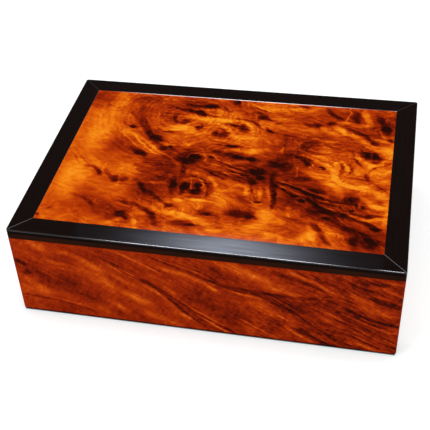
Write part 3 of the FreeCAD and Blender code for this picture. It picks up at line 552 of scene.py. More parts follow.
def make_burl():
    """Thuya burl with its marks listed one by one, and fibres, patches and contours of noise."""
    material, tree = new_material("thuya_burl_lacquered")
    place = place_in_mm(tree, (1, 1, 0))
    slow = bend_place(tree, place, (18, 12), 3, seed=3)
    near = bend_place(tree, slow, (4.5, 3), 2.4, seed=11)
    frayed = bend_place(tree, near, (4, 1.5), 1.1, turn=-10, stretch=(1, 0.5), seed=19)
    clouds = lay_blots(tree, near, BURL_CLOUDS, swell=1.45)
    halos = lay_blots(tree, near, BURL_KNOTS, swell=3)
    knots = lay_blots(tree, frayed, BURL_KNOTS, swell=1.5, crisp=True)
    dark_strokes = lay_blots(tree, frayed, strung(BURL_DARK), swell=1.7, crisp=True)
    light_strokes = lay_blots(tree, frayed, strung(BURL_LIGHT), swell=1.8, crisp=True)
    drift = bend_place(tree, place, (50, 30), 16, seed=57)

    grain = flat_noise(tree, drift, (8, 1.4), turn=-10, detail=2, roughness=0.5, seed=5, swirl=0.3)
    slant = flat_noise(tree, frayed, (9, 1.5), turn=-34, detail=3, roughness=0.6, seed=23)
    patch = flat_noise(tree, drift, (9, 5), turn=-10, detail=2.5, roughness=0.5, seed=41, swirl=0.6)
    slanting = add_node(tree, "Clamp", {0: lay_blots(tree, place, [SLANTING_PART])})
    fibres = add_node(tree, "Mix", {0: slanting, 2: grain, 3: slant}, data_type="FLOAT")
    calm = add_node(tree, "Clamp", {0: lay_blots(tree, slow, [CALM_END])})
    fibre_swing = add_node(tree, "MapRange", {0: calm, 3: 0.3, 4: 0.16})
    patch_swing = add_node(tree, "MapRange", {0: calm, 3: 0.55, 4: 0.3})

    # radians for one unit of each: the sine draws a line for every 6.3
    phase = add_up(tree, 0.0, [(patch, 42.0), (halos, 11.0), (clouds, 7.0)])
    contours = add_node(tree, "Math", {0: phase}, operation="SINE")
    here_and_there = flat_noise(tree, slow, (14, 9), detail=1, seed=83)
    where = add_up(tree, here_and_there, [(calm, -0.2)])
    contour_swing = add_node(tree, "MapRange", {0: where, 1: 0.42, 2: 0.68, 3: 0.01, 4: 0.09})

    piles = [
        add_up(tree, 0.0, [(clouds, 1.1)]),
        add_up(tree, 0.0, [(dark_strokes, 0.85), (knots, 1.15)]),
        light_strokes,
    ]
    shade, dark, light = (add_node(tree, "Math", {0: pile}, operation="TANH") for pile in piles)
    tone = add_up(
        tree,
        BURL_TONE,
        [
            (light, 0.34),
            (shade, -0.44),
            (dark, -0.44),
            (halos, -0.14),
            (fibres, fibre_swing, NOISE_MIDDLE),
            (patch, patch_swing, NOISE_MIDDLE),
            (lay_rings(tree, slow, BURL_RINGS), 1.0),
            (contours, contour_swing),
        ],
    )
    lacquered(tree, tone_ramp(tree, tone, BURL_SHADES), 0.4, 0.3, 0.04)
    return material


dress(make_burl(), "lid_burl_panel")

# %% [markdown]
# ## The front wall
#
# The walls are straight-grained thuya, cut beside the burl. On the front the streaks fall to the
# right, a little steeper towards the foot, as dark lines and soft glowing bands, with one small
# knot at the left end. They are strokes again, on a plan whose zero is the middle of the box's
# length, on the ground.

# %% Dark streaks of the front wall
FRONT_DARK = [
    # the long split streak and the hairlines that lead into it
    (0.7, 0.6, (-61, 54.5), (-50, 49), (-41, 43.5), (-36, 40)),
    (0.6, 0.45, (-50, 46.5), (-43, 42.5), (-38, 39.5)), (1.7, 0.9, (-37, 40), (-31, 37.5), (-26, 33.5)),
    (1.2, 0.9, (-27, 34), (-20, 27), (-12, 18.5), (-4, 10.5), (4, 4), (10, 0)),
    (1.0, 0.8, (-24, 33), (-17, 27.5), (-10, 22.5), (-3, 17), (5, 12), (13, 7), (21, 2)),
    (2.6, 0.35, (-22, 30), (-12, 20), (0, 10), (10, 4)),
    # the bundle that crosses from the top to the fork on the right
    (0.8, 0.5, (-38, 55.5), (-30, 52), (-23, 49)),
    (1.1, 0.75, (-31, 62), (-22, 58), (-14, 55), (-6, 51.5), (2, 48), (10, 45)),
    (0.9, 0.6, (-22, 60), (-12, 57), (-3, 53.5), (5, 50), (11, 47)), (0.8, 0.5, (-24, 55), (-16, 52.5)),
    (1.6, 0.5, (6, 57.5), (14, 53.5)),
    (1.8, 0.7, (8, 46.5), (18, 43), (30, 41.5), (42, 40.5), (55, 40), (70, 41)),
    (1.0, 0.7, (12, 42), (20, 40.5), (28, 39.5), (36, 38)), (1.8, 0.8, (34, 39), (42, 36), (50, 31)),
    (1.2, 0.75, (50, 31), (60, 25), (70, 17), (80, 10), (89, 4)), (1.2, 0.6, (44, 39), (54, 34), (62, 30)),
    (0.8, 0.5, (64, 22), (74, 15), (82, 11)),
    # top right
    (1.7, 0.7, (42, 60), (50, 57), (58, 55), (67, 52.5), (75, 48)), (1.2, 0.8, (59, 62), (65, 57.5)),
    (1.0, 0.7, (68, 60), (73, 55)), (2.4, 0.8, (75, 58), (82, 53), (88, 48)),
    (0.9, 0.5, (82, 60), (92, 56), (102, 53)), (1.2, 0.5, (98, 60), (108, 57)),
    (2.4, 0.85, (103, 47), (111, 43), (120, 41)), (1.6, 0.9, (117, 48), (121, 47)),
    (0.9, 0.5, (92, 50), (100, 46)),
    # small knots and their tails
    (1.3, 1.0, (76, 41.5), (83, 38.8)), (1.0, 0.7, (74, 43), (79, 44)), (1.0, 0.6, (83, 33), (86, 30)),
    (1.6, 0.9, (86, 36.5), (91, 34), (97, 30)), (1.6, 0.75, (94, 31.5), (106, 28), (120, 25)),
    (1.0, 0.6, (97, 28), (104, 25), (112, 23)),
    # lower right
    (2.2, 0.85, (61, 13.5), (68, 9), (75, 5)), (1.9, 1.0, (74, 5), (83, 2)), (1.1, 0.6, (57, 15), (64, 11)),
    (1.0, 0.7, (90, 20.5), (100, 15), (110, 10), (119, 6)), (0.8, 0.5, (98, 21), (110, 15), (120, 11)),
    (1.0, 0.6, (88, 14), (98, 9), (110, 4)), (0.8, 0.5, (84, 9), (94, 3)), (0.9, 0.6, (84, 25), (94, 21)),
    (0.6, 0.4, (52, 23), (51, 16), (53, 11)),
    # left end: a dark streak, a small knot and the edge of a calmer patch
    (2.0, 1.4, (-121, 46.5), (-116, 45), (-111, 42)), (2.8, 1.5, (-113.5, 37), (-110.5, 35.4)),
    (0.9, 0.5, (-120, 15.5), (-105, 13.8), (-92, 12), (-80, 8.5), (-70, 5.5)),
]
print("dark streaks:", len(FRONT_DARK))

# %% [markdown]
# ## Light streaks and shades
#
# Between the dark lines lie bands that glow, and both lie on broad, faint shades, where the
# board is a little browner.

# %% Light streaks and shades of the front wall
FRONT_LIGHT = [
    # left end
    (3.2, 0.55, (-112, 62), (-102, 58.5), (-94, 53.5)), (1.2, 0.5, (-97, 47.5), (-90, 45.5), (-84, 45)),
    (1.2, 0.45, (-93, 42.5), (-82, 41)),
    (2.2, 0.55, (-89, 56), (-82, 55), (-74, 51), (-66, 46.5), (-60, 43)),
    (0.8, 0.4, (-104, 40), (-97, 36), (-90, 32)), (4.5, 0.5, (-119, 22), (-106, 22), (-95, 18)),
    (2.6, 0.35, (-117, 31), (-110, 28)), (0.6, 0.45, (-93, 14.2), (-82, 11.5), (-71, 8)),
    (4.0, 0.35, (-112, 9), (-110, 3)), (3.0, 0.3, (-98, 8), (-96, 3)), (2.6, 0.45, (-67, 10), (-59, 5)),
    # the broad bright field
    (5.0, 0.45, (-74, 46), (-62, 37), (-52, 29)), (3.4, 0.75, (-47, 26.5), (-40, 23.5), (-32, 19.5)),
    (2.6, 0.4, (-60, 18), (-52, 14), (-44, 12)), (3.0, 0.4, (-36, 12), (-26, 8), (-16, 4)),
    (1.8, 0.4, (-54, 41), (-46, 36), (-40, 33)), (2.0, 0.45, (-16, 16), (-8, 12)),
    # hairlines beside the split streak
    (0.6, 0.7, (-59, 51), (-52, 47), (-46, 43.5)), (0.6, 0.7, (-48, 46.8), (-42, 43.6), (-37.5, 41)),
    (1.1, 0.5, (-36, 36), (-28, 31), (-21, 25)), (1.0, 0.45, (-20, 22.5), (-10, 13.5), (0, 6.5), (8, 1.5)),
    (1.0, 0.5, (-22, 36), (-15, 30.5)), (0.5, 0.7, (-12, 25), (-5, 19.7), (3, 14.8), (12, 9.2)),
    (0.8, 0.8, (0, 14), (6, 10), (13, 4.5), (19, 0.5)),
    # beside the bundle
    (0.8, 0.75, (-50, 60.5), (-44, 58), (-36, 54.3), (-28, 50.3), (-22, 46.5)),
    (0.6, 0.5, (-32, 63), (-24, 60), (-14, 56.6)), (0.5, 0.6, (-6, 54), (2, 50.6), (10, 46.8)),
    (2.1, 0.6, (-24, 54), (-16, 50.3), (-9, 48)), (1.5, 0.6, (-9, 48.5), (0, 44.8), (8, 40)),
    (1.8, 0.7, (6, 40.5), (12, 37)), (0.8, 0.7, (14, 42), (21, 39.6), (28, 37), (35, 35.4)),
    (4.0, 0.6, (13, 61), (24, 58.5), (33, 54.5)), (3.8, 0.65, (32, 56), (40, 51), (47, 45.5)),
    (2.0, 0.6, (46, 46), (54, 42.5), (62, 42)), (0.6, 0.6, (22, 17.5), (30, 12.5), (38, 8), (48, 2.5)),
    (4.5, 0.4, (33, 34), (42, 26), (56, 20)), (2.6, 0.4, (28, 8), (36, 4)),
    # right part
    (1.6, 0.5, (52, 61.5), (60, 58.5), (68, 54)), (1.2, 0.55, (68, 54.5), (76, 49.5), (85, 45)),
    (1.6, 0.55, (71, 60.5), (79, 56), (87, 51)), (2.2, 0.6, (88, 49), (96, 44), (104, 42)),
    (0.6, 0.45, (64, 62), (72, 59)), (0.5, 0.6, (95, 47), (100, 44)), (0.6, 0.5, (39, 37.5), (48, 32.5)),
    (0.6, 0.5, (50, 33.5), (60, 27.5)), (0.6, 0.45, (66, 35), (73, 32)),
    (0.9, 0.8, (73, 32.5), (80, 29), (86, 26)), (2.0, 0.9, (75, 24), (80, 23)),
    (1.5, 0.55, (82, 20.5), (88, 19)), (1.2, 0.6, (52, 15.5), (58, 10.5), (68, 4)),
    (0.6, 0.45, (66, 19), (76, 12.5), (84, 7)), (1.4, 0.4, (60, 47), (72, 44)),
    (3.0, 0.55, (94, 38.5), (106, 37), (114, 35)), (1.6, 0.6, (106, 34.5), (119, 33)),
    (0.9, 0.7, (111, 60), (120, 59)), (1.2, 0.7, (106, 56), (112, 53), (120, 51)),
    (0.6, 0.6, (104, 49.5), (111, 47)), (0.9, 0.65, (107, 22.5), (114, 20), (120, 19)),
    (0.9, 0.6, (98, 18), (106, 12.5), (113, 9)), (0.7, 0.5, (89, 16), (96, 11.5), (102, 9)),
    (1.3, 0.7, (92, 7), (100, 5), (109, 2)), (0.8, 0.5, (72, 8), (80, 5)),
    (0.6, 0.5, (90, 30), (99, 25), (104, 23)), (0.7, 0.5, (112, 13), (120, 9)),
]
FRONT_SHADE = [
    (7, 0.6, (-112, 42), (-98, 32), (-84, 27), (-68, 18)), (6, 0.4, (-90, 40), (-80, 31)),
    (5, 0.35, (-92, 51), (-80, 49)), (7, 0.35, (-108, 7), (-80, 4)), (5, 0.35, (-78, 58), (-64, 54)),
    (5, 0.35, (-56, 56), (-40, 48)), (4, 0.35, (-56, 10), (-50, 5)), (5, 0.3, (-44, 14), (-36, 6)),
    (9, 0.55, (-8, 34), (6, 26), (20, 18)), (7, 0.4, (16, 12), (30, 22)), (6, 0.45, (4, 55), (28, 46)),
    (7, 0.5, (42, 36), (60, 31), (78, 38)), (9, 0.4, (62, 22), (90, 8)), (10, 0.4, (82, 56), (116, 54)),
    (9, 0.45, (84, 33), (118, 26)), (6, 0.4, (92, 20), (118, 10)), (6, 0.4, (60, 48), (72, 45)),
    (6, 0.35, (40, 10), (50, 20)), (5, 0.3, (104, 46), (120, 42)),
]
print("light streaks:", len(FRONT_LIGHT), "shades:", len(FRONT_SHADE))

# %% [markdown]
# ## The other walls
#
# The other three boards come from the same tree, but no two boards have the same figure. Copying
# the front would show, so their streaks are drawn by chance. Each wall has its own lean and its
# own fixed seed, so the same box comes out every time.


# %% Streaks by chance
half_length, half_depth = (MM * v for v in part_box("lid_board")[1][:2])
wall_top = round(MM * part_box("front_wall")[1].z)
print("walls reach", wall_top, "mm up")


def chance_streaks(seed, count, lean, reach, widths):
    """Streaks for a wall whose figure is free: long, narrow and all leaning about the same way."""
    draw = random.Random(seed)
    streaks = []
    for _ in range(count):
        x, z = draw.uniform(-reach, reach), draw.uniform(0, wall_top)
        points = [(x, z)]
        turn = math.radians(lean + draw.uniform(-8, 8))
        for _ in range(draw.choice((2, 3, 4))):
            step = draw.uniform(9, 16)
            turn += math.radians(draw.uniform(-9, 9))
            x, z = x + step * math.cos(turn), z + step * math.sin(turn)
            points.append((x, z))
        streaks.append((draw.uniform(*widths), draw.uniform(0.4, 0.85), *points))
    return streaks


def free_streaks(seed, lean, reach):
    """Dark lines, light lines and broad shades of one wall, with their half widths in mm."""
    return (
        chance_streaks(seed, 20, lean, reach, (0.9, 2.4)),
        chance_streaks(seed + 100, 14, lean, reach, (1.4, 4.5)),
        chance_streaks(seed + 200, 5, lean, reach, (8.0, 16.0)),
    )


# %% [markdown]
# ## Thuya for the walls
#
# Each wall reads its own place: along its face, and up it. Depth behind the face counts as
# height, so the streaks run on over the rim and down the inside, as they would in one solid
# board. Fine lines and short flames of noise run with the streaks, and each wall is busier
# towards its right end. A dark band along the foot is painted shade, where the wall meets the
# floor. The lacquer is thinner than on the lid.


# %% Thuya for the walls
DEPTH_AS_HEIGHT = 0.5
# painted shade: each wall is darkened along its foot, where it meets the floor
FOOT_SHADE_BAND = (1.4, 2.5)  # mm above the ground, from where the dark band fades to where it is gone
WALL_TONE = 0.515  # the tone where nothing is laid
WALL_SHADES = [
    (0.0, "#200502"), (0.15, "#450a01"), (0.3, "#6e1501"), (0.45, "#902203"), (0.6, "#ac3104"),
    (0.75, "#c64708"), (0.9, "#de6210"), (1.0, "#f2852a"),
]
print("wall colours:", len(WALL_SHADES))


def face_place(tree, along, inward, outer):
    """Place on an upright face, in mm along it and up it, with depth added to the height."""
    place = place_in_mm(tree)
    over = add_node(tree, "VectorMath", {0: place, 1: along}, operation="DOT_PRODUCT")
    rise = (DEPTH_AS_HEIGHT * inward[0], DEPTH_AS_HEIGHT * inward[1], 1.0)
    up = add_node(tree, "VectorMath", {0: place, 1: rise}, operation="DOT_PRODUCT")
    from_face = {0: up.outputs["Value"], 1: DEPTH_AS_HEIGHT * outer}
    height = add_node(tree, "Math", from_face, operation="ADD")
    return add_node(tree, "CombineXYZ", {0: over.outputs["Value"], 1: height})


def make_wall_thuya(name, along, inward, outer, lean, dark_streaks, light_streaks, shades, seed):
    """Straight-grained thuya. The streaks and shades are in mm on the wall's outer face."""
    material, tree = new_material(name)
    place = face_place(tree, along, inward, outer)
    slow = bend_place(tree, place, (40, 22), 4, turn=lean, seed=seed)
    combed = bend_place(tree, slow, (12, 1.4), 3.2, turn=lean, stretch=(1, 0.25), seed=seed + 7)
    dark_pile = lay_blots(tree, combed, strung(dark_streaks), swell=1.3, crisp=True)
    light = lay_blots(tree, combed, strung(light_streaks), swell=1.45)
    shade_pile = lay_blots(tree, slow, strung(shades), swell=1.4)
    patch = flat_noise(tree, slow, (16, 6), turn=lean, detail=3, roughness=0.55, seed=seed + 1)
    lines = flat_noise(
        tree, combed, (7.5, 0.9), turn=lean, detail=3, roughness=0.65, seed=seed + 2, swirl=0.7
    )
    flames = flat_noise(tree, combed, (2.2, 6), turn=lean, detail=3, roughness=0.6, seed=seed + 3)
    here_and_there = flat_noise(tree, place, (60, 30), detail=1, seed=seed + 4)
    rightwards = add_node(tree, "SeparateXYZ", {0: place}).outputs["X"]
    busy = add_up(tree, 0.2, [(here_and_there, 0.5, NOISE_MIDDLE), (rightwards, 0.005)])
    line_swing = add_node(tree, "MapRange", {0: busy, 1: 0.0, 2: 0.7, 3: 0.4, 4: 1.0})
    # painted shade along the foot of the wall
    height = add_node(tree, "SeparateXYZ", {0: place_in_mm(tree)}).outputs["Z"]
    foot_shade_range = {0: height, 1: FOOT_SHADE_BAND[0], 2: FOOT_SHADE_BAND[1], 3: 1.0, 4: 0.0}
    foot_shade = add_node(tree, "MapRange", foot_shade_range)
    shade, dark = (
        add_node(tree, "Math", {0: pile}, operation="TANH") for pile in (shade_pile, dark_pile)
    )
    tone = add_up(
        tree,
        WALL_TONE,
        [
            (light, 0.39),
            (shade, -0.37),
            (dark, -0.32),
            (patch, 0.35, NOISE_MIDDLE),
            (lines, line_swing, NOISE_MIDDLE),
            (flames, 0.38, NOISE_MIDDLE),
            (rightwards, -0.00025),
            (foot_shade, -0.6),
        ],
    )
    lacquered(tree, tone_ramp(tree, tone, WALL_SHADES), 0.5, 0.035, 0.1)
    return material


# %% Four walls
WALLS = {
    # along the face, inwards, how far out the face is in mm, lean of the streaks, seed
    "front_wall": ((1, 0, 0), (0, 1, 0), half_depth, -28, 4),
    "right_wall": ((0, 1, 0), (-1, 0, 0), half_length, -16, 31),
    "back_wall": ((-1, 0, 0), (0, -1, 0), half_depth, 22, 53),
    "left_wall": ((0, -1, 0), (1, 0, 0), half_length, 18, 77),
}
for wall, (along, inward, outer, lean, seed) in WALLS.items():
    if wall == "front_wall":
        streaks = (FRONT_DARK, FRONT_LIGHT, FRONT_SHADE)
    else:
        streaks = free_streaks(seed, lean, half_length + half_depth - outer)
    thuya = make_wall_thuya(f"thuya_{wall}", along, inward, outer, lean, *streaks, seed)
    dress(thuya, wall)

# %% [markdown]
# ## Ebonised strips and the dark board
#
# The frame of the lid is a fine-grained wood dyed black and lacquered like the burl, which is
# why it looks like ink and mirrors the window. The strips meet in mitres. Each mitre shows as a
# pale hairline over the glue line, a painted highlight that stands for the light catching it,
# drawn from the two distances to the outside faces and painted brighter at the front mitres than
# at the back. It is drawn 0.4 mm wide, wider than a real glue line, because a thinner one would
# not show. The lacquer is rubbed a little unevenly, and there is hardly any on the sides.
# The board under the strips is stained brown-black, and the wood shows through.


# %% Black strips and dark board
# painted highlight: the pale hairline along each mitre
MITRE_HIGHLIGHT = 0.2  # mm from the mitre, measured along a side, to where the line starts to fade
LACQUERED_DOWN_TO = (1.0, 0.6)  # mm below the lid's top, where the lacquer begins and is full


def make_ebonised(name, grain_size):
    """Wood stained black under lacquer, with a painted highlight as a pale hairline at the mitres."""
    material, tree = new_material(name)
    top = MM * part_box("front_lid_strip")[1].z
    place = place_in_mm(tree)
    parts = add_node(tree, "SeparateXYZ", {0: place}).outputs
    to_end, to_side = (
        add_node(tree, "Math", {0: parts[way]}, operation="ABSOLUTE") for way in ("X", "Y")
    )
    uneven = add_node(tree, "Math", {0: to_end, 1: to_side}, operation="SUBTRACT")
    level = {0: uneven, 1: half_length - half_depth}
    off_mitre = add_node(tree, "Math", level, operation="SUBTRACT")
    distance = add_node(tree, "Math", {0: off_mitre}, operation="ABSOLUTE")
    # painted highlight: brighter at the front mitres than at the back ones
    forward = add_node(tree, "MapRange", {0: parts["Y"], 1: 60, 2: -60, 3: 0.2, 4: 0.8})
    highlight_range = {0: distance, 1: MITRE_HIGHLIGHT, 2: 2 * MITRE_HIGHLIGHT, 3: forward, 4: 0.0}
    mitre_highlight = add_node(tree, "MapRange", highlight_range)
    grain = flat_noise(tree, place, grain_size, detail=3, roughness=0.6, seed=9)
    blacks = {0: grain, 6: paint("#0a0403"), 7: paint("#180b08")}
    black = add_node(tree, "Mix", blacks, data_type="RGBA").outputs[2]
    # painted highlight colour of the mitre hairline
    with_highlight = {0: mitre_highlight, 6: black, 7: paint("#6d6c70")}
    colour = add_node(tree, "Mix", with_highlight, data_type="RGBA").outputs[2]
    rubbed = add_node(tree, "MapRange", {0: grain, 1: 0.3, 2: 0.7, 3: 0.62, 4: 1.04})
    begins, full = (top - depth for depth in LACQUERED_DOWN_TO)
    coat = {0: parts["Z"], 1: begins, 2: full, 3: 0.03, 4: rubbed}
    lacquered(tree, colour, 0.5, add_node(tree, "MapRange", coat), 0.06)
    return material


dress(make_ebonised("ebonised_along_x", (30, 0.6)), "front_lid_strip", "back_lid_strip")
dress(make_ebonised("ebonised_along_y", (0.6, 30)), "left_lid_strip", "right_lid_strip")


def make_dark_board():
    """Wood stained dark brown, with hardly any lacquer, so that its grain stays dull."""
    material, tree = new_material("stained_board")
    place = place_in_mm(tree, (1, 1, 0.5))
    grain = flat_noise(tree, place, (30, 0.9), detail=4, roughness=0.6, seed=15)
    browns = {0: grain, 6: paint("#1a0c06"), 7: paint("#34180c")}
    colour = add_node(tree, "Mix", browns, data_type="RGBA").outputs[2]
    lacquered(tree, colour, 0.5, 0.03, 0.2)
    return material


dress(make_dark_board(), "lid_board")

# %% [markdown]
# ## Pale wood inside
#
# The base panel, the battens that keep the lid in place and the tongues across the mitres are
# plain maple, sanded and left bare. Its rings are narrow bands that run along each piece, so
# there is one material for pieces laid along the box and one for those across it.


# %% Maple
MAPLE_SHADES = [(0.1, "#a98150"), (0.5, "#c8a473"), (0.9, "#dcbf92")]
PORE_SHARE = 0.25  # pores are this much of a ring's size


def make_maple(name, ring_size):
    """Bare sanded maple. ring_size is how far a ring runs along and across, in mm."""
    material, tree = new_material(name)
    place = place_in_mm(tree)
    pore_size = [PORE_SHARE * size for size in ring_size]
    rings = flat_noise(tree, place, ring_size, detail=3, roughness=0.5, seed=2)
    pores = flat_noise(tree, place, pore_size, detail=2, roughness=0.6, seed=8)
    tone = add_up(tree, 0.5, [(rings, 1.2, NOISE_MIDDLE), (pores, 0.5, NOISE_MIDDLE)])
    colour = tone_ramp(tree, tone, MAPLE_SHADES)
    bump = add_node(tree, "Bump", {"Strength": 0.2, "Distance": 0.0001, "Height": tone})
    finish = {"Base Color": colour, "Roughness": 0.6, "IOR": 1.5, "Normal": bump}
    add_node(tree, "OutputMaterial", {0: add_node(tree, "BsdfPrincipled", finish)})
    return material


along_x = make_maple("maple_along_x", (28, 1.6))
along_y = make_maple("maple_along_y", (1.6, 28))
dress(along_x, "base_panel", "front_lid_batten", "back_lid_batten", "corner_splines")
dress(along_y, "left_lid_batten", "right_lid_batten")

# %% [markdown]
# ## Brass hinges
#
# The leaves are drawn brass strip, rubbed along their length on fine grit, which leaves short
# lines that spread the shine across them. The pins and screws are turned brass, smoother and a
# little redder. Metals keep the default IOR, and their colour is the colour of the reflection.


# %% Brass
def make_brass(name, light_shade, dark_shade, line_size, roughness):
    """Brass with rubbed lines of line_size mm, a little tarnish and an uneven shine."""
    material, tree = new_material(name)
    place = place_in_mm(tree)
    drawn_out = add_node(tree, "Mapping", {0: place, 3: line_size}, vector_type="TEXTURE")
    lines = add_node(tree, "TexNoise", {"Vector": drawn_out, "Scale": 1.0, "Detail": 3.0})
    tarnish = add_node(tree, "TexNoise", {"Vector": place, "Scale": 0.15, "Detail": 3.0})
    shades = {0: tarnish, 6: paint(dark_shade), 7: paint(light_shade)}
    colour = add_node(tree, "Mix", shades, data_type="RGBA").outputs[2]
    uneven = {0: lines, 1: 0.3, 2: 0.7, 3: roughness - 0.06, 4: roughness + 0.08}
    shine = add_node(tree, "MapRange", uneven)
    bump = add_node(tree, "Bump", {"Strength": 0.25, "Distance": 0.00003, "Height": lines})
    finish = {"Base Color": colour, "Metallic": 1.0, "Roughness": shine, "Normal": bump}
    add_node(tree, "OutputMaterial", {0: add_node(tree, "BsdfPrincipled", finish)})
    return material


drawn_brass = make_brass("drawn_brass", "#e6c170", "#c79a4a", (6, 0.12, 0.12), 0.3)
turned_brass = make_brass("turned_brass", "#dfb565", "#b98a41", (0.3, 0.3, 0.3), 0.24)
for side in ("left", "right"):
    dress(drawn_brass, f"{side}_hinge_wall_leaf", f"{side}_hinge_lid_leaf")
    dress(turned_brass, f"{side}_hinge_wall_screws", f"{side}_hinge_lid_screws")

# %% [markdown]
# ## Hinge pins
#
# A hinge pin is a length of brass wire whose ends are rounded over so that it can't catch a
# finger or slip out. The frame holds it as a plain rod. Here half of its outline is drawn as a
# line of vertices and spun round the pin's own axis, which gives the domed ends.


# %% Pins with domed ends
DOME_SHARE = 0.35  # height of a pin's domed end, as a share of its radius


def finished(name, bm):
    """Turns a bmesh into an object of the scene."""
    mesh = bpy.data.meshes.new(name)
    bm.to_mesh(mesh)
    bm.free()
    piece = bpy.data.objects.new(name, mesh)
    bpy.context.scene.collection.objects.link(piece)
    print(name, "has", len(mesh.polygons), "faces")
    return piece


def turned_piece(name, outline, centre, steps=32):
    """Spins an outline of (place along X, radius) points in metres round the X axis through centre."""
    bm = bmesh.new()
    points = [bm.verts.new((along, 0, radius)) for along, radius in outline]
    for first, second in zip(points, points[1:]):
        bm.edges.new((first, second))
    bmesh.ops.spin(
        bm,
        geom=bm.verts[:] + bm.edges[:],
        cent=(0, 0, 0),
        axis=(1, 0, 0),
        angle=2 * math.pi,
        steps=steps,
        use_merge=True,
    )
    bmesh.ops.remove_doubles(bm, verts=bm.verts, dist=1e-7)
    bmesh.ops.recalc_face_normals(bm, faces=bm.faces)
    bmesh.ops.translate(bm, verts=bm.verts, vec=centre)
    for face in bm.faces:
        face.smooth = True
    return finished(name, bm)


def domed_rod(length, radius, dome, steps=6):
    """Outline of a rod whose ends are domed over the given height."""
    turns = [0.5 * math.pi * step / steps for step in range(steps + 1)]
    cap = [(0.5 * length - dome * (1 - math.cos(t)), radius * math.sin(t)) for t in turns]
    return cap + [(-along, high) for along, high in reversed(cap)]


for side in ("left", "right"):
    low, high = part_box(f"{side}_hinge_pin")
    size = high - low
    outline = domed_rod(size.x, size.z / 2, DOME_SHARE * size.z / 2)
    pin = turned_piece(f"{side}_domed_pin", outline, (low + high) / 2)
    pin.data.materials.append(turned_brass)
    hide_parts(f"{side}_hinge_pin")
    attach(pin, "box")

# %% [markdown]
# ## Felt inside and baize below
#
# Two sheets of wool cloth are glued to the base panel: soft felt inside, so that keepsakes do
# not rattle, and thinner baize below, so that the box does not scratch a desk. Each is cut
# square with a blade, so its edges are nearly sharp, but its face is never quite flat. A grid
# is pushed up and down by gentle noise and given a thickness, and only its loose face moves.
# Wool shows as a fine mottle, and a sheen stands for the loose hairs that catch light.


# %% Wool
def make_wool(name, deep, pale, hair_size):
    """Felted wool: a fine mottle from a deep shade to a pale one, under a sheen."""
    material, tree = new_material(name)
    place = place_in_mm(tree)
    # real hairs are far finer, and would not show
    hairs = add_node(tree, "TexNoise", {"Vector": place, "Scale": 1 / hair_size, "Detail": 4.0})
    patches = add_node(tree, "TexNoise", {"Vector": place, "Scale": 0.12, "Detail": 3.0})
    mottle = add_up(tree, 0.5, [(hairs, 2.2, NOISE_MIDDLE), (patches, 1.4, NOISE_MIDDLE)])
    shades = {0: add_node(tree, "Clamp", {0: mottle}), 6: paint(deep), 7: paint(pale)}
    colour = add_node(tree, "Mix", shades, data_type="RGBA").outputs[2]
    bump = add_node(tree, "Bump", {"Strength": 0.5, "Distance": 0.0002, "Height": hairs})
    finish = {
        "Base Color": colour,
        "Roughness": 0.95,
        "Sheen Weight": 0.4,
        "Sheen Roughness": 0.5,
        "Specular IOR Level": 0.1,
        "Normal": bump,
    }
    add_node(tree, "OutputMaterial", {0: add_node(tree, "BsdfPrincipled", finish)})
    return material


felt = make_wool("wool_felt", "#0f3a26", "#2f7350", 1.2)
baize_wool = make_wool("wool_baize", "#0d3420", "#27613f", 0.8)
print("wool:", felt.name, "and", baize_wool.name)


# %% Felt and baize
CELL = 4.0  # mm, one square of a sheet's grid
RIPPLES_PER_METRE = 45


def wool_sheet(name, node, loose_side, ripple):
    """A sheet in the node's space. Its loose face, up for 1 or down for -1, is a little uneven."""
    low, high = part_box(node)
    size, middle = high - low, (low + high) / 2
    bm = bmesh.new()
    along, across = (round(MM * side / CELL) for side in size[:2])
    bmesh.ops.create_grid(bm, x_segments=along, y_segments=across, size=0.5)
    bmesh.ops.scale(bm, verts=bm.verts, vec=(size.x, size.y, 1))
    bmesh.ops.translate(bm, verts=bm.verts, vec=(0, 0, 0.5 * size.z * -loose_side))
    pulled_up = bmesh.ops.extrude_face_region(bm, geom=bm.faces[:])
    for vert in pulled_up["geom"]:
        if isinstance(vert, bmesh.types.BMVert):
            dip = ripple * (0.5 + 0.5 * noise.noise(vert.co * RIPPLES_PER_METRE))
            vert.co.z = loose_side * (0.5 * size.z - dip)
    bmesh.ops.recalc_face_normals(bm, faces=bm.faces)
    rim = [
        edge
        for edge in bm.edges
        if edge.calc_face_angle(0) > 1 and all(v.co.z * loose_side > 0 for v in edge.verts)
    ]
    bmesh.ops.bevel(
        bm, geom=rim, offset=0.25 * size.z, segments=2, affect="EDGES", profile=0.5, material=-1
    )
    bmesh.ops.translate(bm, verts=bm.verts, vec=middle)
    for face in bm.faces:
        face.smooth = abs(face.normal.z) > 0.5
    piece = finished(name, bm)
    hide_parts(node)
    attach(piece, "box")
    return piece, (size.x, size.y)


lining, lining_flat = wool_sheet("felt_lining", "floor_lining", 1, 0.00012)
lining.data.materials.append(felt)

baize, baize_flat = wool_sheet("baize_sheet", "underside_baize", -1, 0.00004)
baize.data.materials.append(baize_wool)

# %% [markdown]
# ## Camera
#
# The box is seen from the front, from a little to the right of its middle, looking down at about
# 41 degrees. The spot, the turn and the focal length were fitted to the box's own corners, and
# the slight roll is what makes the long edges fall to the right.


# %% Camera
SENSOR = 36  # mm, the width of the camera's sensor
PICTURE = 430  # pixels, the picture's width and height


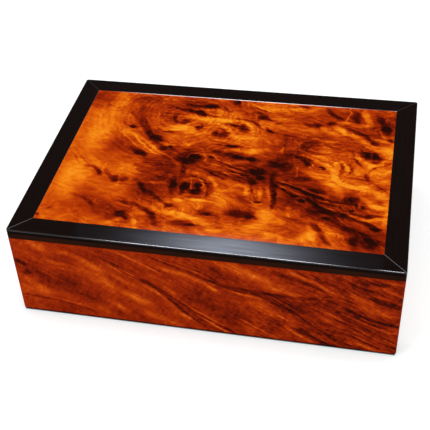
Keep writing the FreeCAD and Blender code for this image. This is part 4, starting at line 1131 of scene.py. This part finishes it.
def aim_camera(spot, azimuth, elevation, roll, focal_pixels, off_middle):
    """Camera at a spot in mm, looking down by elevation. Its focal length and the place of its
    axis from the picture's middle, to the right and down, are in pixels."""
    camera_data = bpy.data.cameras.new("camera")
    camera = bpy.data.objects.new("camera", camera_data)
    bpy.context.scene.collection.objects.link(camera)
    bpy.context.scene.camera = camera
    a, e, r = (math.radians(v) for v in (azimuth, elevation, roll))
    forward = Vector((-math.sin(a) * math.cos(e), math.cos(a) * math.cos(e), -math.sin(e)))
    level = forward.cross(Vector((0, 0, 1))).normalized()
    upright = level.cross(forward)
    right = level * math.cos(r) + upright * math.sin(r)
    turn = Matrix((right, right.cross(forward), -forward)).transposed()
    camera.matrix_world = Matrix.Translation(Vector(spot) / MM) @ turn.to_4x4()
    camera_data.sensor_width = SENSOR
    camera_data.lens = focal_pixels / PICTURE * SENSOR
    camera_data.shift_x = -off_middle[0] / PICTURE
    camera_data.shift_y = off_middle[1] / PICTURE
    camera_data.clip_start = 0.01
    return camera


camera = aim_camera(
    spot=(98.5, -469.7, 434.6),
    azimuth=16.66,
    elevation=41.15,
    roll=-5.20,
    focal_pixels=920.2,
    off_middle=(-47.1, 13.9),
)
print("lens:", round(camera.data.lens, 1), "mm")

# %% [markdown]
# ## Softboxes
#
# A softbox is a lamp behind white cloth, so it gives an even light and a soft shadow. A wide one
# overhead lights the lid. Two in front light the front wall, the left one more strongly, so that
# the wall doesn't look flat. Gloss doesn't show these two, because their sharp mirror images
# would stand on the lid in some views. Two broad, dim ones behind keep the back from going black.


# %% Softboxes
BOX_MIDDLE = Vector((0, 0, 0.035))


def soft_light(name, spot, size, radiance, mirrored):
    """A lamp of even brightness that looks at the box, all in metres. mirrored: gloss shows it."""
    data = bpy.data.lights.new(name, "AREA")
    data.shape = "RECTANGLE"
    data.size, data.size_y = size
    data.energy = radiance * math.pi * size[0] * size[1]
    lamp = bpy.data.objects.new(name, data)
    bpy.context.scene.collection.objects.link(lamp)
    lamp.location = spot
    lamp.rotation_mode = "QUATERNION"
    lamp.rotation_quaternion = (BOX_MIDDLE - lamp.location).to_track_quat("-Z", "Y")
    lamp.visible_camera = False
    lamp.visible_glossy = mirrored
    print(name, "at", spot)


soft_light("overhead_softbox", (0, -0.1, 1.7), (2.4, 2.0), 1.3, mirrored=True)
soft_light("key_softbox", (-1.7, -1.4, 0.9), (1.2, 1.0), 5.2, mirrored=False)
soft_light("fill_softbox", (1.7, -1.4, 0.9), (1.2, 1.0), 3.6, mirrored=False)
soft_light("back_left_softbox", (-1.7, 1.2, 0.7), (2.0, 1.0), 0.7, mirrored=True)
soft_light("back_right_softbox", (1.7, 1.2, 0.7), (2.0, 1.0), 0.8, mirrored=True)

# %% [markdown]
# ## Window and skylight
#
# Black lacquer is drawn by what it mirrors. A window stands behind the box, placed by the law of
# reflection, so that from the camera its mirror image lies along the front strip. The rounded
# front edge of the lid looks higher up and even forwards, so its thin bright line mirrors a
# skylight over the front, and a second, short one adds a glint at the right corner. All three
# are curved sheets that shine, brightest in the middle. They light nothing: only gloss shows
# them.


# %% Window and skylight
SHEET_DISTANCE = 1.5  # metres from the lid
SHEET_STEP = 2  # degrees from one row of a sheet to the next


def mirror_sheet(name, middle_x, half_width, climb):
    """A sheet on an arc round the X axis. The lid mirrors it to the camera from the inner edge of
    the front strip forwards, where climb starts at 0, and climb says in degrees how far above
    that place the sheet begins and ends. What climbs past about 50 stands over the front."""
    eye = camera.matrix_world.translation
    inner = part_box("lid_burl_panel")
    bm = bmesh.new()
    rows = []
    for turn in range(climb[0], climb[1] + 1, SHEET_STEP):
        raised = Matrix.Rotation(math.radians(turn), 3, "X")
        row = []
        for x in (middle_x - half_width, middle_x + half_width):
            spot = Vector((x, inner[0].y, inner[1].z))
            away = (spot - eye).normalized()
            away.z = -away.z
            row.append(bm.verts.new(spot + raised @ away * SHEET_DISTANCE))
        rows.append(row)
    for (left, right), (next_left, next_right) in zip(rows, rows[1:]):
        bm.faces.new((left, right, next_right, next_left))
    sheet = finished(name, bm)
    sheet.visible_camera = False
    sheet.visible_diffuse = False
    sheet.visible_shadow = False
    return sheet


def glow_across(name, sheet, radiance, tint, power, steepness, ends=0.0):
    """Light that fades from a sheet's middle to its ends as exp(-steepness * share ** power)."""
    xs = [v.co.x for v in sheet.data.vertices]
    middle, half = (max(xs) + min(xs)) / 2, (max(xs) - min(xs)) / 2
    material, tree = new_material(name)
    place = add_node(tree, "TexCoord").outputs["Object"]
    value = add_node(tree, "SeparateXYZ", {0: place}).outputs["X"]
    share = (("SUBTRACT", middle), ("DIVIDE", half), ("ABSOLUTE", 0))
    bell = (("POWER", power), ("MULTIPLY", -steepness), ("EXPONENT", 0))
    for operation, number in share + bell:
        value = add_node(tree, "Math", {0: value, 1: number}, operation=operation)
    glow = add_node(tree, "Emission", {0: paint(tint), 1: add_up(tree, ends, [(value, radiance)])})
    add_node(tree, "OutputMaterial", {0: glow})
    sheet.data.materials.append(material)


window = mirror_sheet("window", 0.014, 0.092, (0, 14))
glow_across("window_glow", window, 7.5, "#e4ecff", 2, 6.0, ends=0.15)
skylight = mirror_sheet("skylight", 0.009, 0.098, (50, 80))
glow_across("skylight_glow", skylight, 80.0, "#f2f5ff", 6, 8.0)
glint = mirror_sheet("corner_glint", 0.113, 0.022, (50, 80))
glow_across("corner_glint_glow", glint, 62.0, "#f2f5ff", 2, 3.0)

# %% [markdown]
# ## The room
#
# The room is a world of plain light. What gloss mirrors of it is white low down behind the box,
# grey in front and dim above, which keeps the lacquer clear and the wood deep. The camera itself
# sees white everywhere. On matt surfaces the room's light is an even quarter of white.


# %% The room
ROOM_LIGHT = 0.25  # what the room gives to matt surfaces
FRONT_LEVEL, BACK_LEVEL, UPPER_LEVEL = 0.25, 1.0, 0.06  # what gloss mirrors, each way
CLIMB_TO_DIM = (0.08, 0.35)  # share of height in a direction, from the low to the upper level


def seen_directly(tree):
    """1 for what the camera sees, straight or in a reflection or through glass, else 0."""
    path = add_node(tree, "LightPath").outputs
    seen = path["Is Camera Ray"]
    for other in ("Is Glossy Ray", "Is Transmission Ray"):
        seen = add_node(tree, "Math", {0: seen, 1: path[other]}, operation="MAXIMUM")
    return seen


world = bpy.data.worlds.new("studio")
bpy.context.scene.world = world
world.use_nodes = True
sky = world.node_tree
sky.nodes.clear()
looking = add_node(sky, "TexCoord").outputs["Generated"]
direction = add_node(sky, "SeparateXYZ", {0: looking}).outputs
behind = {0: direction["Y"], 1: -0.5, 2: 0.0, 3: FRONT_LEVEL, 4: BACK_LEVEL}
low_level = add_node(sky, "MapRange", behind)
low = {0: direction["Z"], 1: CLIMB_TO_DIM[0], 2: CLIMB_TO_DIM[1], 3: low_level, 4: UPPER_LEVEL}
backdrop = add_node(sky, "MapRange", low)
camera_ray = add_node(sky, "LightPath").outputs["Is Camera Ray"]
white_seen = add_node(sky, "Math", {0: backdrop, 1: camera_ray}, operation="MAXIMUM")
levels = {0: seen_directly(sky), 2: ROOM_LIGHT, 3: white_seen}
strength = add_node(sky, "Mix", levels, data_type="FLOAT")
room = add_node(sky, "Background", {0: paint("#ffffff"), 1: strength})
add_node(sky, "OutputWorld", {0: room})
print("room light:", ROOM_LIGHT)

# %% [markdown]
# ## The white floor
#
# A studio floor is a white sweep without an edge. It is matt near the box, where it has to take
# the shadow, and fades into pure white further off. A matt floor in shadow is grey, while a real
# sweep glows with light from all sides, so it also gives off a little light of its own to what
# sees it directly. Under the box the floor has no glow and is painted dark, a painted shade, so
# that a thin dark line shows where the walls meet the floor. Close to the front wall's foot the
# glow is weaker, a painted shadow.


# %% The white floor
STAGE_HALF = 4.0  # metres, half the width of the floor
FADE_TO_WHITE = (0.35, 1.0)  # metres from the middle of the box
# painted shade: the floor is painted dark under the box, out to this edge
PAINTED_SHADE_EDGE = (-0.001, -0.0001)  # metres past the walls, so this is just under the box
# painted shadow: the floor's glow is weaker near the front wall's foot, out to this reach
PAINTED_SHADOW_REACH = 0.016  # metres, how far the weaker glow reaches out
SHADOWED_FOOT_GLOW, OPEN_GLOW = 0.37, 0.51
# painted shade: the floor's colour under the box
PAINTED_SHADE_UNDER_BOX, OPEN_MATT = paint("#3f3131"), paint("#dde7e7")

floor_bm = bmesh.new()
bmesh.ops.create_grid(floor_bm, x_segments=1, y_segments=1, size=STAGE_HALF)
floor = finished("floor", floor_bm)

floor_paint, tree = new_material("white_sweep")
seen = seen_directly(tree)
spot = add_node(tree, "TexCoord").outputs["Object"]
away = add_node(tree, "VectorMath", {0: spot}, operation="LENGTH").outputs["Value"]
far = add_node(tree, "MapRange", {0: away, 1: FADE_TO_WHITE[0], 2: FADE_TO_WHITE[1]})
ways = add_node(tree, "SeparateXYZ", {0: spot}).outputs
past_end, past_side = (
    add_up(tree, -half / MM, [(add_node(tree, "Math", {0: ways[way]}, operation="ABSOLUTE"), 1.0)])
    for way, half in (("X", half_length), ("Y", half_depth))
)
beyond = add_node(tree, "Math", {0: past_end, 1: past_side}, operation="MAXIMUM")
# painted shade: 0 under the box, where the floor is painted dark and has no glow, 1 outside
past_painted_shade = add_node(tree, "MapRange", {0: beyond, 1: PAINTED_SHADE_EDGE[0], 2: PAINTED_SHADE_EDGE[1]})
# painted shadow: a weaker glow close to the front wall's foot
sideways = add_node(tree, "Math", {0: past_end, 1: 0.0}, operation="MAXIMUM")
forwards = add_up(tree, half_depth / MM, [(ways["Y"], 1.0)])
off_foot = add_node(tree, "CombineXYZ", {0: sideways, 1: forwards})
from_foot = add_node(tree, "VectorMath", {0: off_foot}, operation="LENGTH").outputs["Value"]
glow_with_painted_shadow = {0: from_foot, 1: 0.0, 2: PAINTED_SHADOW_REACH, 3: SHADOWED_FOOT_GLOW, 4: OPEN_GLOW}
glow = add_node(tree, "MapRange", glow_with_painted_shadow)
for share in (seen, past_painted_shade):
    glow = add_node(tree, "Math", {0: glow, 1: share}, operation="MULTIPLY")
paints = {0: past_painted_shade, 6: PAINTED_SHADE_UNDER_BOX, 7: OPEN_MATT}
matt = add_node(tree, "BsdfDiffuse", {0: add_node(tree, "Mix", paints, data_type="RGBA").outputs[2]})
near_glow = add_node(tree, "Emission", {0: paint("#ffffff"), 1: glow})
near_floor = add_node(tree, "AddShader", {0: matt, 1: near_glow})
far_floor = add_node(tree, "Emission", {0: paint("#ffffff"), 1: 1.0})
far_seen = add_node(tree, "Math", {0: far, 1: seen}, operation="MULTIPLY")
sweep = add_node(tree, "MixShader", {0: far_seen, 1: near_floor, 2: far_floor})
add_node(tree, "OutputMaterial", {0: sweep})
floor.data.materials.append(floor_paint)
bpy.context.scene.view_settings.view_transform = "Standard"
print("floor:", 2 * STAGE_HALF, "m wide")
